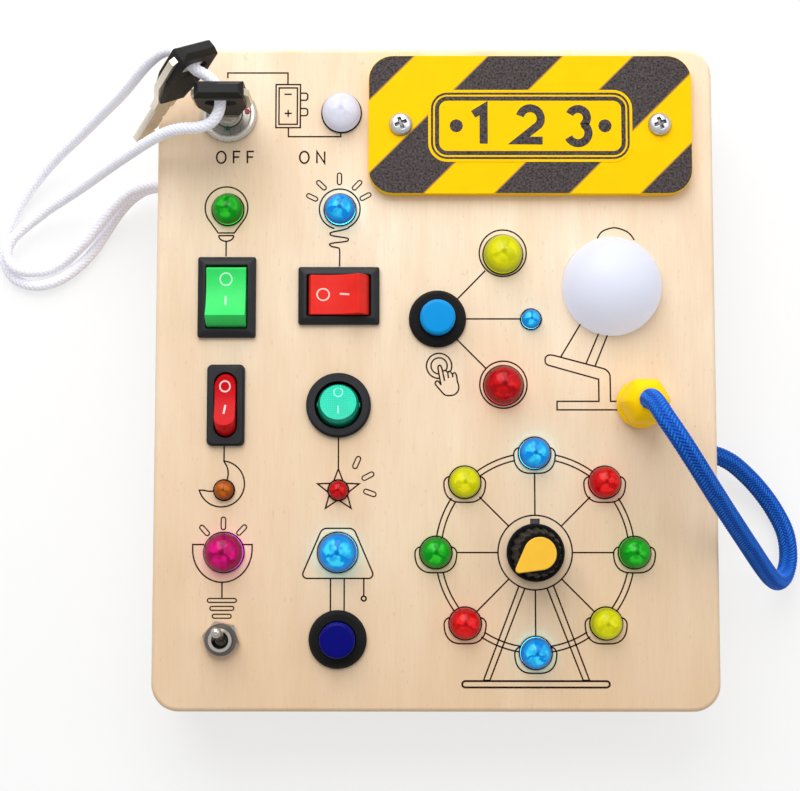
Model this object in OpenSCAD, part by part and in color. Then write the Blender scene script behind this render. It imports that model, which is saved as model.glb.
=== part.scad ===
/* [Board] */
// Radius of the board's corners
corner_r = 7; // [4:0.5:9]
// Radius on the front edge
edge_r = 1.2; // [0.6:0.1:2]
// Thickness of the front plywood panel
panel_t = 5; // [4:0.5:6]
// Depth of the wooden rim
rim_depth = 22; // [22:1:30]
// Thickness of the rim's walls
rim_w = 7; // [5:0.5:7.5]
// Thickness of the back plywood panel
back_t = 3; // [3:0.5:5]
// Diameter of the wood screws that hold the back
back_screw_d = 3; // [2:0.5:3.5]
// Length of the wood screws that hold the back
back_screw_l = 14; // [10:1:18]

/* [Layout] */
// From the left edge to the first column of controls
left_margin = 18.5; // [17:0.5:24]
// From the first column of controls to the second
column_pitch = 29; // [27:0.5:36]
// From the second column of controls to the sign plate
sign_gap = 7.6; // [7.2:0.1:12]
// From the sign plate to the right edge
sign_margin = 5.9; // [4:0.1:10]
// From the top edge to the key lock
top_margin = 17.7; // [17:0.1:24]
// From the lock down to the first two lights
lock_to_lights = 25.2; // [22:0.1:32]
// From those lights down to the large rocker switches
lights_to_rockers = 23.1; // [18:0.1:28]
// From the large rocker switches down to the slim and the round one
rockers_to_slim = 28; // [24:0.1:34]
// From the slim switch down to the small lights
slim_to_small = 21.8; // [18:0.1:28]
// From the small lights down to the large lights
small_to_large = 15.9; // [12:0.1:22]
// From the large lights down to the toggle and the dark button
large_to_bottom = 22; // [18:0.1:28]
// From the toggle to the bottom edge
bottom_margin = 18.3; // [17:0.1:24]

/* [Sign] */
// Width of the sign plate
sign_w = 84; // [78:1:88]
// Height of the sign plate
sign_h = 36.5; // [30:0.5:38]
// Thickness of the sign plate
sign_t = 3; // [2:0.5:4]
// Radius of the sign's corners
sign_r = 6.4; // [3:0.2:8]
// Distance between the sign's screws
sign_screw_pitch = 67.2; // [64:0.2:70]
// Diameter of the sign's screw heads
sign_head_d = 6; // [5:0.5:7]
// Diameter of the sign's screws
sign_screw_d = 3; // [2:0.5:3]

/* [Lights] */
// Diameter of the small lights
small_led_d = 5; // [4:0.5:6]
// Diameter of the middle lights
led_d = 8; // [6:0.5:8]
// Diameter of the large lights
large_led_d = 10; // [9:0.5:12]
// Thickness of the rim behind each light
led_rim_t = 1; // [0.8:0.1:1.2]
// Radius of the circle of lights on the wheel
wheel_r = 25.4; // [24:0.1:27]
// Diameter of the white lamp dome
dome_d = 25.7; // [22:0.1:26]
// Height of the lamp dome's cap
dome_h = 10.5; // [6:0.5:11]
// Wall of the lamp dome
dome_wall = 1.2; // [0.8:0.1:1.6]

/* [Key lock] */
// Diameter of the lock's front ring
lock_ring_d = 14.8; // [13.5:0.1:16]
// Height of the lock's front ring
lock_ring_h = 1.6; // [1.4:0.1:2.4]
// Diameter of the lock's threaded barrel
lock_barrel_d = 12; // [11:0.5:12.5]
// Diameter of the lock's turning cylinder
lock_cyl_d = 7; // [6.6:0.1:8]
// Length of the lock behind the face
lock_depth = 20; // [19:0.5:21]
// Thickness of a key's metal plate
key_t = 1.8; // [1.4:0.1:2.2]
// Width of a key's bow
key_bow_w = 14.4; // [13.5:0.1:15]
// Width of a key's blade
key_blade_w = 5.2; // [4.4:0.1:5.4]
// Length of a key's blade
key_blade_l = 14; // [11:0.5:15]
// Length of a key above its blade
key_head_l = 22.4; // [21:0.2:24]
// Width of a key's plastic grip
key_grip_w = 12.3; // [11.6:0.1:12.6]
// Thickness of a key's plastic grip
key_grip_t = 4.4; // [4:0.1:4.6]

/* [Rocker switches] */
// Width of a large rocker switch's frame
frame_w = 15; // [14.5:0.1:16]
// Length of a large rocker switch's frame
frame_l = 21; // [20.5:0.1:22]
// Height of a rocker switch's frame
frame_h = 2; // [1.6:0.1:2.4]
// Width of a large rocker
rocker_w = 10.2; // [9.6:0.1:10.4]
// Length of a large rocker
rocker_l = 15.8; // [15:0.1:16]
// Width of the slim switch's frame
slim_frame_w = 9.7; // [9.4:0.1:10.4]
// Width of the slim rocker
slim_w = 5.3; // [5:0.1:5.5]
// Length of the slim rocker
slim_l = 16.2; // [15:0.1:16.4]
// Diameter of the round switch's frame
round_frame_d = 16.7; // [16.3:0.1:18]
// Diameter of the round rocker
round_d = 11.7; // [11:0.1:11.8]
// Angle of a rocker from level
rocker_tilt = 11; // [8:0.5:12]
// Depth of a rocker switch behind the face
switch_depth = 12.5; // [12:0.5:14]

/* [Push buttons] */
// Diameter of a button's collar
collar_d = 14.8; // [14:0.1:16]
// Height of a button's collar
collar_h = 2.2; // [1.8:0.1:2.8]
// Diameter of a button's threaded barrel
button_barrel_d = 12; // [11.5:0.5:12.5]
// Diameter of a button's cap
cap_d = 9.1; // [8.6:0.1:9.8]
// Height of a button's cap over the face
cap_h = 5.4; // [5:0.1:6.4]
// Travel of a button's cap
cap_travel = 2.4; // [1.5:0.1:2.6]

/* [Toggle] */
// Diameter of the toggle's threaded bushing
bushing_d = 6; // [6:0.5:7]
// Height of the bushing over the face
bushing_h = 4; // [3.6:0.2:5]
// Width across the toggle nut's flats
toggle_nut_w = 8.5; // [8:0.5:9]
// Length of the toggle's lever over its pivot
lever_l = 13; // [10:0.5:15]
// Diameter of the toggle's lever at its tip
lever_d = 2.8; // [2.2:0.1:3]
// Angle of the toggle's lever from upright
lever_tilt = 12.5; // [10:0.5:13]

/* [Knob] */
// Diameter of the knob's skirt
skirt_d = 14.8; // [14:0.1:15.4]
// Height of the knob over the face
knob_h = 14; // [12:0.5:16]
// Diameter of the knob at its top
knob_top_d = 10.8; // [10.4:0.1:11.4]
// Number of flutes on the knob
flutes = 18; // [12:1:24]
// Diameter of the knob's shaft
shaft_d = 6; // [5:0.5:6]
// Direction of the knob's pointer
pointer_angle = 217; // [200:1:240]
// Diameter of the sensor body behind the knob
pot_d = 16.5; // [15.5:0.5:17]
// Depth of the sensor body behind the panel
pot_h = 9; // [8:0.5:9]

/* [Plug] */
// Diameter of the plug's base ring
plug_base_d = 12.6; // [11.5:0.1:13]
// Width across the flats of the plug's grip
plug_grip_w = 11.2; // [10:0.1:11.6]
// Height of the plug's grip over the face
plug_h = 15; // [15:0.5:16]
// Diameter of the plug's pin
plug_pin_d = 3.5; // [3:0.1:4]
// Length of the plug's pin
plug_pin_l = 14; // [10:0.5:15]

/* [Cords] */
// Diameter of the white cord on the keys
key_cord_d = 3; // [2.4:0.1:3]
// Diameter of the blue cord on the plug
plug_cord_d = 5; // [4:0.1:5]

/* [Battery] */
// Diameter of a battery
battery_d = 14.5; // [13.5:0.1:14.5]
// Length of a battery
battery_l = 50.5; // [44.5:0.5:50.5]
// Wall of the battery box
box_wall = 1.4; // [1:0.1:1.6]
// Thickness of the battery door
door_t = 2.5; // [1.6:0.1:2.6]

/* [Hidden] */
$fn = 48;

// nuts behind the panel
lock_nut_w = 15;
button_nut_w = 14;
jack_nut_w = 11;
panel_nut_t = 2.2;
toggle_nut_t = 2;
washer_t = 0.4;

// heights: the board lies on its back, so the face looks up
rim_z = back_t;
inner_z = back_t + rim_depth;
face_z = inner_z + panel_t;

// the board is as wide and as tall as its columns and rows and their margins
board_w = left_margin + column_pitch + sign_gap + sign_w + sign_margin;
board_h = top_margin + lock_to_lights + lights_to_rockers + rockers_to_slim + slim_to_small
  + small_to_large + large_to_bottom + bottom_margin;
left_x = left_margin - board_w / 2;
second_x = left_x + column_pitch;
right_x = board_w / 2 - sign_margin - sign_w / 2;
lock_y = board_h / 2 - top_margin;
lights_y = lock_y - lock_to_lights;
rockers_y = lights_y - lights_to_rockers;
slim_y = rockers_y - rockers_to_slim;
small_lights_y = slim_y - slim_to_small;
large_lights_y = small_lights_y - small_to_large;
bottom_y = large_lights_y - large_to_bottom;

// fits, all on the radius or on one side
hole_gap = 0.1;
slide_gap = 0.3;
turn_gap = 0.05;
eps = 0.01;

// places on the face
lock_at = [left_x, lock_y];
status_at = [second_x + 0.5, lock_y + 0.4];
green_led_at = [left_x, lights_y];
blue_led_at = [second_x + 0.2, lights_y];
green_switch_at = [left_x, rockers_y];
red_switch_at = [second_x, rockers_y + 0.4];
slim_switch_at = [left_x, slim_y];
round_switch_at = [second_x, slim_y];
amber_at = [left_x - 0.3, small_lights_y];
star_at = [second_x, small_lights_y];
magenta_at = [left_x - 0.2, large_lights_y];
lamp_shade_at = [second_x - 0.1, large_lights_y];
toggle_at = [left_x - 0.6, bottom_y];
dark_button_at = [second_x, bottom_y];
wheel_at = [right_x + 0.8, large_lights_y];
button_from_wheel = [-24.9, 60.1];
branch_dx = 17;
branch_up = 16.9;
branch_down = 17.2;
blue_dx = 24.2;
dome_from_wheel = [20.3, 68.7];
jack_from_wheel = [27.3, 38.1];
light_button_at = wheel_at + button_from_wheel;
yellow_at = light_button_at + [branch_dx, branch_up];
large_red_at = light_button_at + [branch_dx, -branch_down];
small_blue_at = light_button_at + [blue_dx, 0];
dome_at = wheel_at + dome_from_wheel;
jack_at = wheel_at + jack_from_wheel;
sign_from_top = 21;
sign_at = [right_x, board_h / 2 - sign_from_top];

// lights stand through the panel, each with its rim behind it
small_led_up = 3.2;
led_up = 5;
large_led_up = 6.2;
led_rim_w = 0.6;
wheel_colours = ["blue", "red", "green", "yellow", "blue", "red", "green", "yellow"];

// rocker switches
pivot_d = 1.8;
slim_pivot_d = 1.4;
pivot_l = 0.8;
side_gap = 0.2;
housing_inset = 1;
slim_housing_inset = 0.8;
rocker_middle = 3.3;
rocker_ends = 4.8;
rocker_under = 4;
round_pivot_up = 0.6;
round_middle = 2.7;
round_ends = 3;
well_depth = 5.9;

// a key's own heights, from its top down
key_total = key_head_l + key_blade_l;
key_shoulder_up = lock_ring_h + 1;
key_top_up = key_shoulder_up + key_head_l;
key_hole_down = 5.6;
key_hole_w = 8;
key_hole_h = 4.6;
grip_l = 19;
spare_at = [left_x - 7.8, lock_y + 7.9, face_z + 20.5];
spare_turn = [-6, 44, 34];

// toggle and knob
lever_pivot_up = 0.6;
bushing_bore_d = 4.4;
toggle_case_size = [13.2, 8, 10.4];
knob_gap = 0.8;
skirt_t = 1.8;
pot_bushing_d = 7;
pot_bushing_up = 2.4;
pot_nut_w = 9;
pot_nut_t = 2;
lug_size = [2.3, 1.3];
lug_y = 7.9;

// plug and its socket
jack_barrel_d = 8;
jack_flange_d = 10;
jack_flange_t = 0.8;
jack_depth = 16;
plug_base_t = 2.6;

// battery box, its door and the door's screw
cell_gap = 0.4;
spring_room = 5;
box_in = [battery_l + spring_room, 2 * battery_d + 3 * cell_gap];
box_out = box_in + 2 * box_wall * [1, 1];
box_h = battery_d + cell_gap + box_wall;
box_at = [right_x - 3.1, board_h / 2 - rim_w - box_out[1] / 2 - 2];
boss_d = 6.4;
boss_h = 9;
door_screw_d = 2;
door_screw_head_d = 4.2;
door_screw_head_t = 1.2;
boss_at = box_at + [box_out[0] / 2 + boss_d / 2 - 0.6, 0];
door_gap = 0.3;
door_w = box_in[1] - 1;
door_x0 = box_at[0] - box_in[0] / 2 + 0.6;
door_x1 = boss_at[0] + boss_d / 2 + 0.5;
door_lift = 0.2;

// control board behind the wheel
board_pcb = 62;
pcb_t = 1.6;
chip_size = [10, 6];
small_chip_size = [6, 4];
chip_t = 1.6;
capacitor_d = 6.3;
capacitor_h = 6;
pcb_z = inner_z - pot_h - pcb_t;

// cord holes in the rim, each with a knot inside
cord_below_lock = 14.7;
key_hole_at = [lock_y - cord_below_lock, 11];
plug_hole_at = [-19.6, 12];
key_cord_hole_d = 7;
plug_cord_hole_d = 6;
knot_l = 5;

// points that each cord passes, in order
key_cord_route = [
  [-65.5, 53.6, 9.4], [-73, 53.6, 9.4], [-78.6, 53.2, 8.2], [-83, 51.2, 6], [-86.6, 48.2, 3.8],
  [-89.6, 44.6, 2.2], [-92.8, 39.8, 1.6], [-96, 35.4, 1.6], [-100, 31.6, 1.6], [-104.4, 28.8, 1.6],
  [-108.8, 27.6, 1.6], [-112.8, 27.8, 1.6], [-116.2, 29.4, 1.6], [-118.4, 32.2, 1.6],
  [-119.4, 35.8, 1.6], [-119.4, 39.8, 1.6], [-118.2, 44.4, 1.6], [-116.2, 48.6, 1.8],
  [-113, 53.4, 2.4], [-108.8, 58.2, 4], [-104.2, 62, 7], [-99, 65.2, 11.4], [-93.6, 68, 17],
  [-88, 70.6, 23.8], [-82.6, 72.8, 31], [-78.4, 74.8, 37], [-74.6, 76.8, 42.6], [-70.8, 78.6, 47],
  [-67.4, 79.4, 49.6], [-64.2, 78.6, 50.8], [-61.8, 76.2, 50.9], [-60, 74.2, 50.9],
  [-57.8, 73, 50.6], [-55.6, 71.2, 50.1], [-54.3, 68.5, 49.5], [-54.1, 65.8, 49],
  [-54.9, 63.3, 48.5], [-56.8, 61.4, 47.8], [-60, 60.6, 46.8], [-63.8, 60.8, 45.2],
  [-67.4, 60.6, 43.2], [-71, 59.8, 40.6], [-75, 58.6, 37.2], [-79.6, 57.2, 32.4],
  [-84.6, 55.8, 26.8], [-89.8, 54.2, 20.8], [-95.2, 52.4, 15], [-100.6, 50.4, 10.4],
  [-105.6, 48.2, 7.2], [-109.8, 45.6, 5.4], [-113.6, 42.8, 4.8], [-116.6, 39.6, 4.8],
  [-117.8, 36, 4.8], [-116.6, 32.8, 4.6], [-113.6, 31.2, 3.8], [-110, 31.2, 2.6],
  [-106.6, 32, 1.8], [-102.8, 33.8, 2.2], [-99.4, 36.4, 3.4], [-96, 39.4, 4.6], [-92.8, 43, 5.4],
  [-89.6, 46.6, 6.6], [-86.2, 49.8, 8.2], [-82.6, 52.2, 10.2], [-78.4, 53.4, 12],
  [-73, 53.6, 12.6], [-65.5, 53.6, 12.6]
];
plug_cord_route = [
  [52.7, -7.6, 45], [52.7, -7.6, 48.5], [53.2, -9.2, 53], [54.8, -13, 57], [57.8, -18, 58.4],
  [61.6, -23.4, 56.4], [65.8, -28.8, 52], [70.4, -34.2, 46.2], [75.2, -39.6, 39.8],
  [80, -44.8, 33], [84.4, -49.2, 25.8], [88.4, -52.4, 18.4], [92, -53.6, 11.2], [95.2, -51.8, 5.6],
  [96.8, -47.2, 3], [96.2, -41, 2.6], [93.4, -35, 2.8], [89.4, -29.6, 4.2], [84.6, -25, 6.8],
  [79.4, -21.4, 10], [73.6, -19.6, 12], [65.5, -19.6, 12]
];

// ---------------------------------------------------------------- shared shapes

// rectangle with rounded corners, centred
module rounded_rect(size, r) {
  square([size[0] - 2 * r, size[1]], center = true);
  square([size[0], size[1] - 2 * r], center = true);
  for (x = [-1, 1], y = [-1, 1])
    translate([x * (size[0] / 2 - r), y * (size[1] / 2 - r)]) circle(r);
}

// slot with round ends along Y, centred
module round_slot(w, l) {
  square([w, l - w], center = true);
  for (y = [-1, 1]) translate([0, y * (l - w) / 2]) circle(w / 2);
}

module block(x, y, z0, z1) {
  translate([0, 0, z0]) linear_extrude(z1 - z0) square([x, y], center = true);
}

module disc(d, z0, z1) {
  translate([0, 0, z0]) cylinder(d = d, h = z1 - z0);
}

// move to a place on the face, with the face at z = 0
module on_face(at) {
  translate([at[0], at[1], face_z]) children();
}

// bar along X through the origin
module cross_pin(d, l) {
  rotate([0, 90, 0]) cylinder(d = d, h = l, center = true);
}

module hex_nut(w, bore, z0, z1) {
  translate([0, 0, z0]) linear_extrude(z1 - z0) difference() {
    circle(d = w / cos(30), $fn = 6);
    circle(d = bore);
  }
}

// sweep of a round section along a route, one ring at each of its points
function unit(v) = v / norm(v);
function tangent(p, i) =
  unit(p[min(i + 1, len(p) - 1)] - p[max(i - 1, 0)]);
function carried(n, t) = unit(n - (n * t) * t);
function normals(p, i, n) =
  i == len(p) ? [] : let (m = carried(n, tangent(p, i))) concat([m], normals(p, i + 1, m));
function ring(c, t, n, r, sides) =
  [for (k = [0:sides - 1]) let (a = 360 * k / sides) c + r * (cos(a) * n + sin(a) * cross(t, n))];

module tube(route, d, sides, start = [0, 1, 0]) {
  last = len(route) - 1;
  side = normals(route, 0, start);
  rings = [for (i = [0:last]) ring(route[i], tangent(route, i), side[i], d / 2, sides)];
  points = [for (r = rings, p = r) p];
  walls = [
    for (i = [0:last - 1], k = [0:sides - 1]) let (a = i * sides, b = (k + 1) % sides)
      [a + k, a + sides + k, a + sides + b, a + b]
  ];
  first_end = [for (k = [0:sides - 1]) k];
  last_end = [for (k = [sides - 1:-1:0]) last * sides + k];
  polyhedron(points, concat([first_end, last_end], walls), convexity = 10);
}

// ---------------------------------------------------------------- wooden box

// plate with a rounded front edge: bars between the corners and a turned disc at each corner
module rounded_plate(size, t, r, edge) {
  w = size[0];
  h = size[1];
  linear_extrude(t - edge) rounded_rect(size, r);
  for (x = [-1, 1], y = [-1, 1]) translate([x * (w / 2 - r), y * (h / 2 - r), t - edge])
    rotate_extrude() corner_profile(r, edge);
  translate([0, 0, t - edge]) {
    rotate([90, 0, 90]) linear_extrude(w - 2 * r, center = true) edge_profile(h, edge);
    rotate([90, 0, 0]) linear_extrude(h - 2 * r, center = true) edge_profile(w, edge);
  }
}

module corner_profile(r, edge) {
  square([r - edge, edge]);
  intersection() {
    translate([r - edge, 0]) circle(edge);
    square([r, edge]);
  }
}

module edge_profile(w, edge) {
  translate([-w / 2 + edge, 0]) square([w - 2 * edge, edge]);
  for (x = [-1, 1]) intersection() {
    translate([x * (w / 2 - edge), 0]) circle(edge);
    translate([-w / 2, 0]) square([w, edge]);
  }
}

// every hole through the front panel
module panel_cuts() {
  cut_0 = -panel_t - 1;
  cut_1 = 1;
  on_face(lock_at) disc(lock_barrel_d + 2 * hole_gap, cut_0, cut_1);
  on_face(status_at) disc(large_led_d + 2 * hole_gap, cut_0, cut_1);
  for (at = [green_led_at, blue_led_at]) on_face(at) disc(led_d + 2 * hole_gap, cut_0, cut_1);
  for (n = [0:7]) on_face(wheel_light_at(n)) disc(led_d + 2 * hole_gap, cut_0, cut_1);
  for (at = [amber_at, star_at, small_blue_at])
    on_face(at) disc(small_led_d + 2 * hole_gap, cut_0, cut_1);
  for (at = [magenta_at, lamp_shade_at, yellow_at, large_red_at])
    on_face(at) disc(large_led_d + 2 * hole_gap, cut_0, cut_1);
  on_face(green_switch_at) switch_cut([frame_w, frame_l], housing_inset, cut_0, cut_1);
  on_face(red_switch_at) rotate(90) switch_cut([frame_w, frame_l], housing_inset, cut_0, cut_1);
  on_face(slim_switch_at) switch_cut([slim_frame_w, frame_l], slim_housing_inset, cut_0, cut_1);
  on_face(round_switch_at)
    disc(round_frame_d - 2 * housing_inset + 2 * hole_gap, cut_0, cut_1);
  for (at = [dark_button_at, light_button_at])
    on_face(at) disc(button_barrel_d + 2 * hole_gap, cut_0, cut_1);
  on_face(toggle_at) disc(bushing_d + 2 * hole_gap, cut_0, cut_1);
  on_face(dome_at) disc(dome_d + 2 * hole_gap, cut_0, cut_1);
  on_face(jack_at) disc(jack_barrel_d + 2 * hole_gap, cut_0, cut_1);
  on_face(wheel_at) {
    disc(pot_bushing_d + 2 * hole_gap, cut_0, cut_1);
    translate([0, lug_y]) block(lug_size[0] + 2 * hole_gap, lug_size[1] + 2 * hole_gap, cut_0, cut_1);
  }
  for (x = [-1, 1]) on_face(sign_at + [x * sign_screw_pitch / 2, 0])
    disc(sign_screw_d + 2 * turn_gap, cut_0, cut_1);
}

module switch_cut(size, inset, z0, z1) {
  w = size[0] - 2 * inset + 2 * hole_gap;
  l = size[1] - 2 * inset + 2 * hole_gap;
  block(w, l, z0, z1);
}

module front_panel() {
  color("burlywood") difference() {
    translate([0, 0, inner_z]) rounded_plate([board_w, board_h], panel_t, corner_r, edge_r);
    panel_cuts();
  }
}

back_screw_x = board_w / 2 - rim_w / 2;
back_screw_y = board_h / 2 - rim_w - 3;
back_screw_places = [for (x = [-1, 1], y = [-1, 0, 1]) [x * back_screw_x, y * back_screw_y]];
screw_head_h = 1.6;

// long wall of the rim: its two outer corners are round
module rim_long(side) {
  cord_y = side < 0 ? key_hole_at[0] : plug_hole_at[0];
  cord_z = side < 0 ? key_hole_at[1] : plug_hole_at[1];
  cord_hole_d = side < 0 ? key_cord_hole_d : plug_cord_hole_d;
  color("burlywood") difference() {
    translate([0, 0, rim_z]) linear_extrude(rim_depth) intersection() {
      rounded_rect([board_w, board_h], corner_r);
      translate([side * (board_w - rim_w) / 2, 0]) square([rim_w, board_h], center = true);
    }
    translate([side * board_w / 2, cord_y, cord_z]) cross_pin(cord_hole_d, 3 * rim_w);
    for (at = back_screw_places) translate(at)
      disc(back_screw_d + 2 * turn_gap, -1, back_screw_l + 1);
  }
}

// short wall of the rim, glued between the long ones
module rim_short(side) {
  short_l = board_w - 2 * rim_w;
  color("burlywood") translate([0, side * (board_h - rim_w) / 2, 0])
    block(short_l, rim_w, rim_z, inner_z);
}

module door_outline(grow) {
  translate([(door_x0 + door_x1) / 2, box_at[1]])
    rounded_rect([door_x1 - door_x0 + 2 * grow, door_w + 2 * grow], 1.5);
}

module back_panel() {
  color("tan") difference() {
    linear_extrude(back_t) rounded_rect([board_w, board_h], corner_r);
    translate([0, 0, -1]) linear_extrude(back_t + 2) door_outline(door_gap);
    for (at = back_screw_places) translate(at) {
      disc(back_screw_d + 2 * turn_gap, -1, back_t + 1);
      screw_countersink(back_screw_d, turn_gap);
    }
  }
}

// cone under a flat screw head, wide end at the back face
module screw_countersink(d, gap) {
  translate([0, 0, -eps]) cylinder(d1 = 2 * d + 2 * gap, d2 = d + 2 * gap, h = screw_head_h);
}

module flat_screw(d, l) {
  difference() {
    union() {
      translate([0, 0, door_lift]) cylinder(d1 = 2 * d - 0.4, d2 = d, h = screw_head_h - door_lift);
      disc(d, 0.6, l);
    }
    for (a = [0, 90]) rotate(a) block(0.7, 0.6 * 2 * d, -1, 0.9);
  }
}

module back_screws() {
  color("silver") for (at = back_screw_places) translate(at) flat_screw(back_screw_d, back_screw_l);
}

// ---------------------------------------------------------------- sign

module sign_plate() {
  color("gold") on_face(sign_at) linear_extrude(sign_t) difference() {
    rounded_rect([sign_w, sign_h], sign_r);
    for (x = [-1, 1]) translate([x * sign_screw_pitch / 2, 0]) circle(d = sign_screw_d + 2 * hole_gap);
  }
}

module pan_head(d, h) {
  rotate_extrude() {
    square([d / 2 - h * 0.6, h]);
    square([d / 2, h * 0.4]);
    intersection() {
      translate([d / 2 - h * 0.6, h * 0.4]) circle(h * 0.6);
      square([d / 2, h]);
    }
  }
}

module sign_screws() {
  head_h = 1.8;
  color("silver") for (x = [-1, 1]) on_face(sign_at + [x * sign_screw_pitch / 2, 0]) difference() {
    union() {
      translate([0, 0, sign_t]) pan_head(sign_head_d, head_h);
      disc(sign_screw_d, -panel_t + 1, sign_t + 0.2);
    }
    for (a = [20, 110]) rotate(a) block(0.8, sign_head_d * 0.62, sign_t + 0.7, sign_t + 3);
  }
}

// ---------------------------------------------------------------- key lock and keys

module key_lock_housing() {
  ring_r = lock_ring_d / 2;
  bore_r = lock_cyl_d / 2 + turn_gap;
  color("silver") on_face(lock_at) difference() {
    union() {
      rotate_extrude() polygon([
        [0, 0], [ring_r, 0], [ring_r, lock_ring_h - 0.7], [ring_r - 0.7, lock_ring_h],
        [ring_r - 1.4, lock_ring_h], [ring_r - 1.7, lock_ring_h - 0.4], [0, lock_ring_h - 0.4]
      ]);
      disc(lock_barrel_d, -lock_depth, eps);
      disc(lock_barrel_d - 2, -lock_depth - 0.6, -lock_depth + eps);
    }
    disc(2 * bore_r, -key_blade_l - 1.4, lock_ring_h + 1);
  }
}

module lock_cylinder() {
  color("lightgray") on_face(lock_at) difference() {
    disc(lock_cyl_d, -key_blade_l - 1.2, lock_ring_h);
    block(key_blade_w + 2 * hole_gap, key_t + 2 * hole_gap, -key_blade_l + key_shoulder_up - 0.4, lock_ring_h + 1);
    difference() {
      disc(lock_cyl_d - 1.2, lock_ring_h - 0.25, lock_ring_h + 1);
      disc(lock_cyl_d - 1.9, lock_ring_h - 0.3, lock_ring_h + 1.1);
    }
  }
}

// outline of a key's plate, from the blade's tip up, on the X-Y plane with the hole at the origin
module key_outline() {
  top = key_hole_down - 1.8;
  w = key_bow_w / 2;
  b = key_blade_w / 2;
  neck = key_hole_down - key_head_l;
  tip = key_hole_down - key_total;
  bite = 0.9;
  step = (key_blade_l - 4) / 4;
  difference() {
    polygon([
      [-w + 2, top], [w - 2, top], [w, top - 2.4], [w, -7.4], [b + 1.2, neck + 3.4], [b + 0.9, neck],
      [b, neck], [b, tip + 1.6], [b - 1.6, tip], [-b + 1.6, tip], [-b, tip + 1.6], [-b, neck],
      [-b - 0.9, neck], [-b - 1.2, neck + 3.4], [-w, -7.4], [-w, top - 2.4]
    ]);
    rotate(90) round_slot(key_hole_h, key_hole_w);
    for (n = [0:3]) translate([b, tip + 2.6 + n * step])
      polygon([[-bite * (1 + n % 2) / 2, 0], [1, -1.4], [1, 1.4]]);
  }
}

module key_plate_shape() {
  rotate([90, 0, 0]) linear_extrude(key_t, center = true) key_outline();
}

// moulded cover round the bow, cut away for the plate
module key_grip_shape() {
  top = key_hole_down;
  w = key_grip_w / 2;
  low = key_hole_down - grip_l;
  t = key_grip_t / 2;
  difference() {
    intersection() {
      rotate([90, 0, 0]) linear_extrude(key_grip_t, center = true) difference() {
        polygon([
          [-w + 1.2, top], [w - 1.2, top], [w, top - 1.6], [w, -4.4], [w - 0.9, -7],
          [w - 3, low], [-w + 3, low], [-w + 0.9, -7], [-w, -4.4], [-w, top - 1.6]
        ]);
        rotate(90) round_slot(key_hole_h, key_hole_w);
      }
      rotate([90, 0, 90]) linear_extrude(key_grip_w + 2, center = true) polygon([
        [-t + 1.1, top], [t - 1.1, top], [t, top - 1.5], [t, low + 1.4], [t - 0.9, low],
        [-t + 0.9, low], [-t, low + 1.4], [-t, top - 1.5]
      ]);
    }
    key_plate_shape();
  }
}

key_hole_z = key_top_up - key_hole_down;

module key_plate() {
  color("silver") on_face(lock_at) translate([0, 0, key_hole_z]) key_plate_shape();
}

module key_grip() {
  color("#26262a") on_face(lock_at) translate([0, 0, key_hole_z]) key_grip_shape();
}

module spare_key_plate() {
  color("silver") translate(spare_at) rotate(spare_turn) key_plate_shape();
}

module spare_key_grip() {
  color("#26262a") translate(spare_at) rotate(spare_turn) key_grip_shape();
}

module key_cord() {
  color("white") tube(key_cord_route, key_cord_d, 8);
}

module plug_cord() {
  color("royalblue") tube(plug_cord_route, plug_cord_d, 8);
}

// stopper knots inside the rim
module cord_knots() {
  inside = board_w / 2 - rim_w;
  color("white") translate([-inside + knot_l / 2, key_hole_at[0], key_hole_at[1]])
    cross_pin(key_cord_hole_d + 3, knot_l);
  color("royalblue") translate([inside - knot_l / 2, plug_hole_at[0], plug_hole_at[1]])
    cross_pin(plug_cord_hole_d + 3, knot_l);
}

// ---------------------------------------------------------------- rocker switches

// frame on the face and the body through the panel, before its well is cut
module housing_solid(size, inset, r) {
  color("#222226") {
    linear_extrude(frame_h * 0.55) rounded_rect(size, r);
    linear_extrude(frame_h) rounded_rect(size - [1, 1], r);
    translate([0, 0, -switch_depth]) linear_extrude(switch_depth + eps)
      square(size - 2 * inset * [1, 1], center = true);
    for (x = [-1, 1]) translate([x * (size[0] / 2 - inset), 0, -panel_t])
      rotate([90, 0, 0]) linear_extrude(4, center = true)
        polygon([[0, 0], [x * 0.5, -0.2], [0, -3.4], [-x * 0.3, -1]]);
  }
}

// a rocker is a body of revolution about its own pivot line, so it sweeps past its well's ends;
// its dished top is an arc from one end, over the middle, to the other end
module rocker_cut(reach, w, middle, ends) {
  half = sqrt(reach * reach - ends * ends);
  rise = ends - middle;
  dish_r = (half * half + rise * rise) / (2 * rise);
  rotate([90, 0, 90]) linear_extrude(w + 1, center = true) difference() {
    translate([-reach - 1, -rocker_under]) square([2 * reach + 2, rocker_under + ends]);
    translate([0, middle + dish_r]) circle(dish_r, $fn = 180);
  }
}

module large_rocker() {
  r = rocker_l / 2;
  rotate([-rocker_tilt, 0, 0]) {
    intersection() {
      cross_pin(rocker_l, rocker_w);
      rocker_cut(r, rocker_w, rocker_middle, rocker_ends);
    }
    cross_pin(pivot_d, rocker_w + 2 * (side_gap + pivot_l));
  }
}

module large_housing() {
  opening = [rocker_w + 2 * side_gap, rocker_l + 2 * slide_gap];
  difference() {
    housing_solid([frame_w, frame_l], housing_inset, 0.5);
    block(opening[0], opening[1], -well_depth, frame_h + 1);
    cross_pin(pivot_d + 2 * turn_gap, opening[0] + 2 * pivot_l + 0.2);
  }
}

module green_switch_housing() {
  color("#222226") on_face(green_switch_at) large_housing();
}

module green_rocker() {
  color("mediumseagreen") on_face(green_switch_at) large_rocker();
}

module red_switch_housing() {
  color("#222226") on_face(red_switch_at) rotate(90) large_housing();
}

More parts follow.
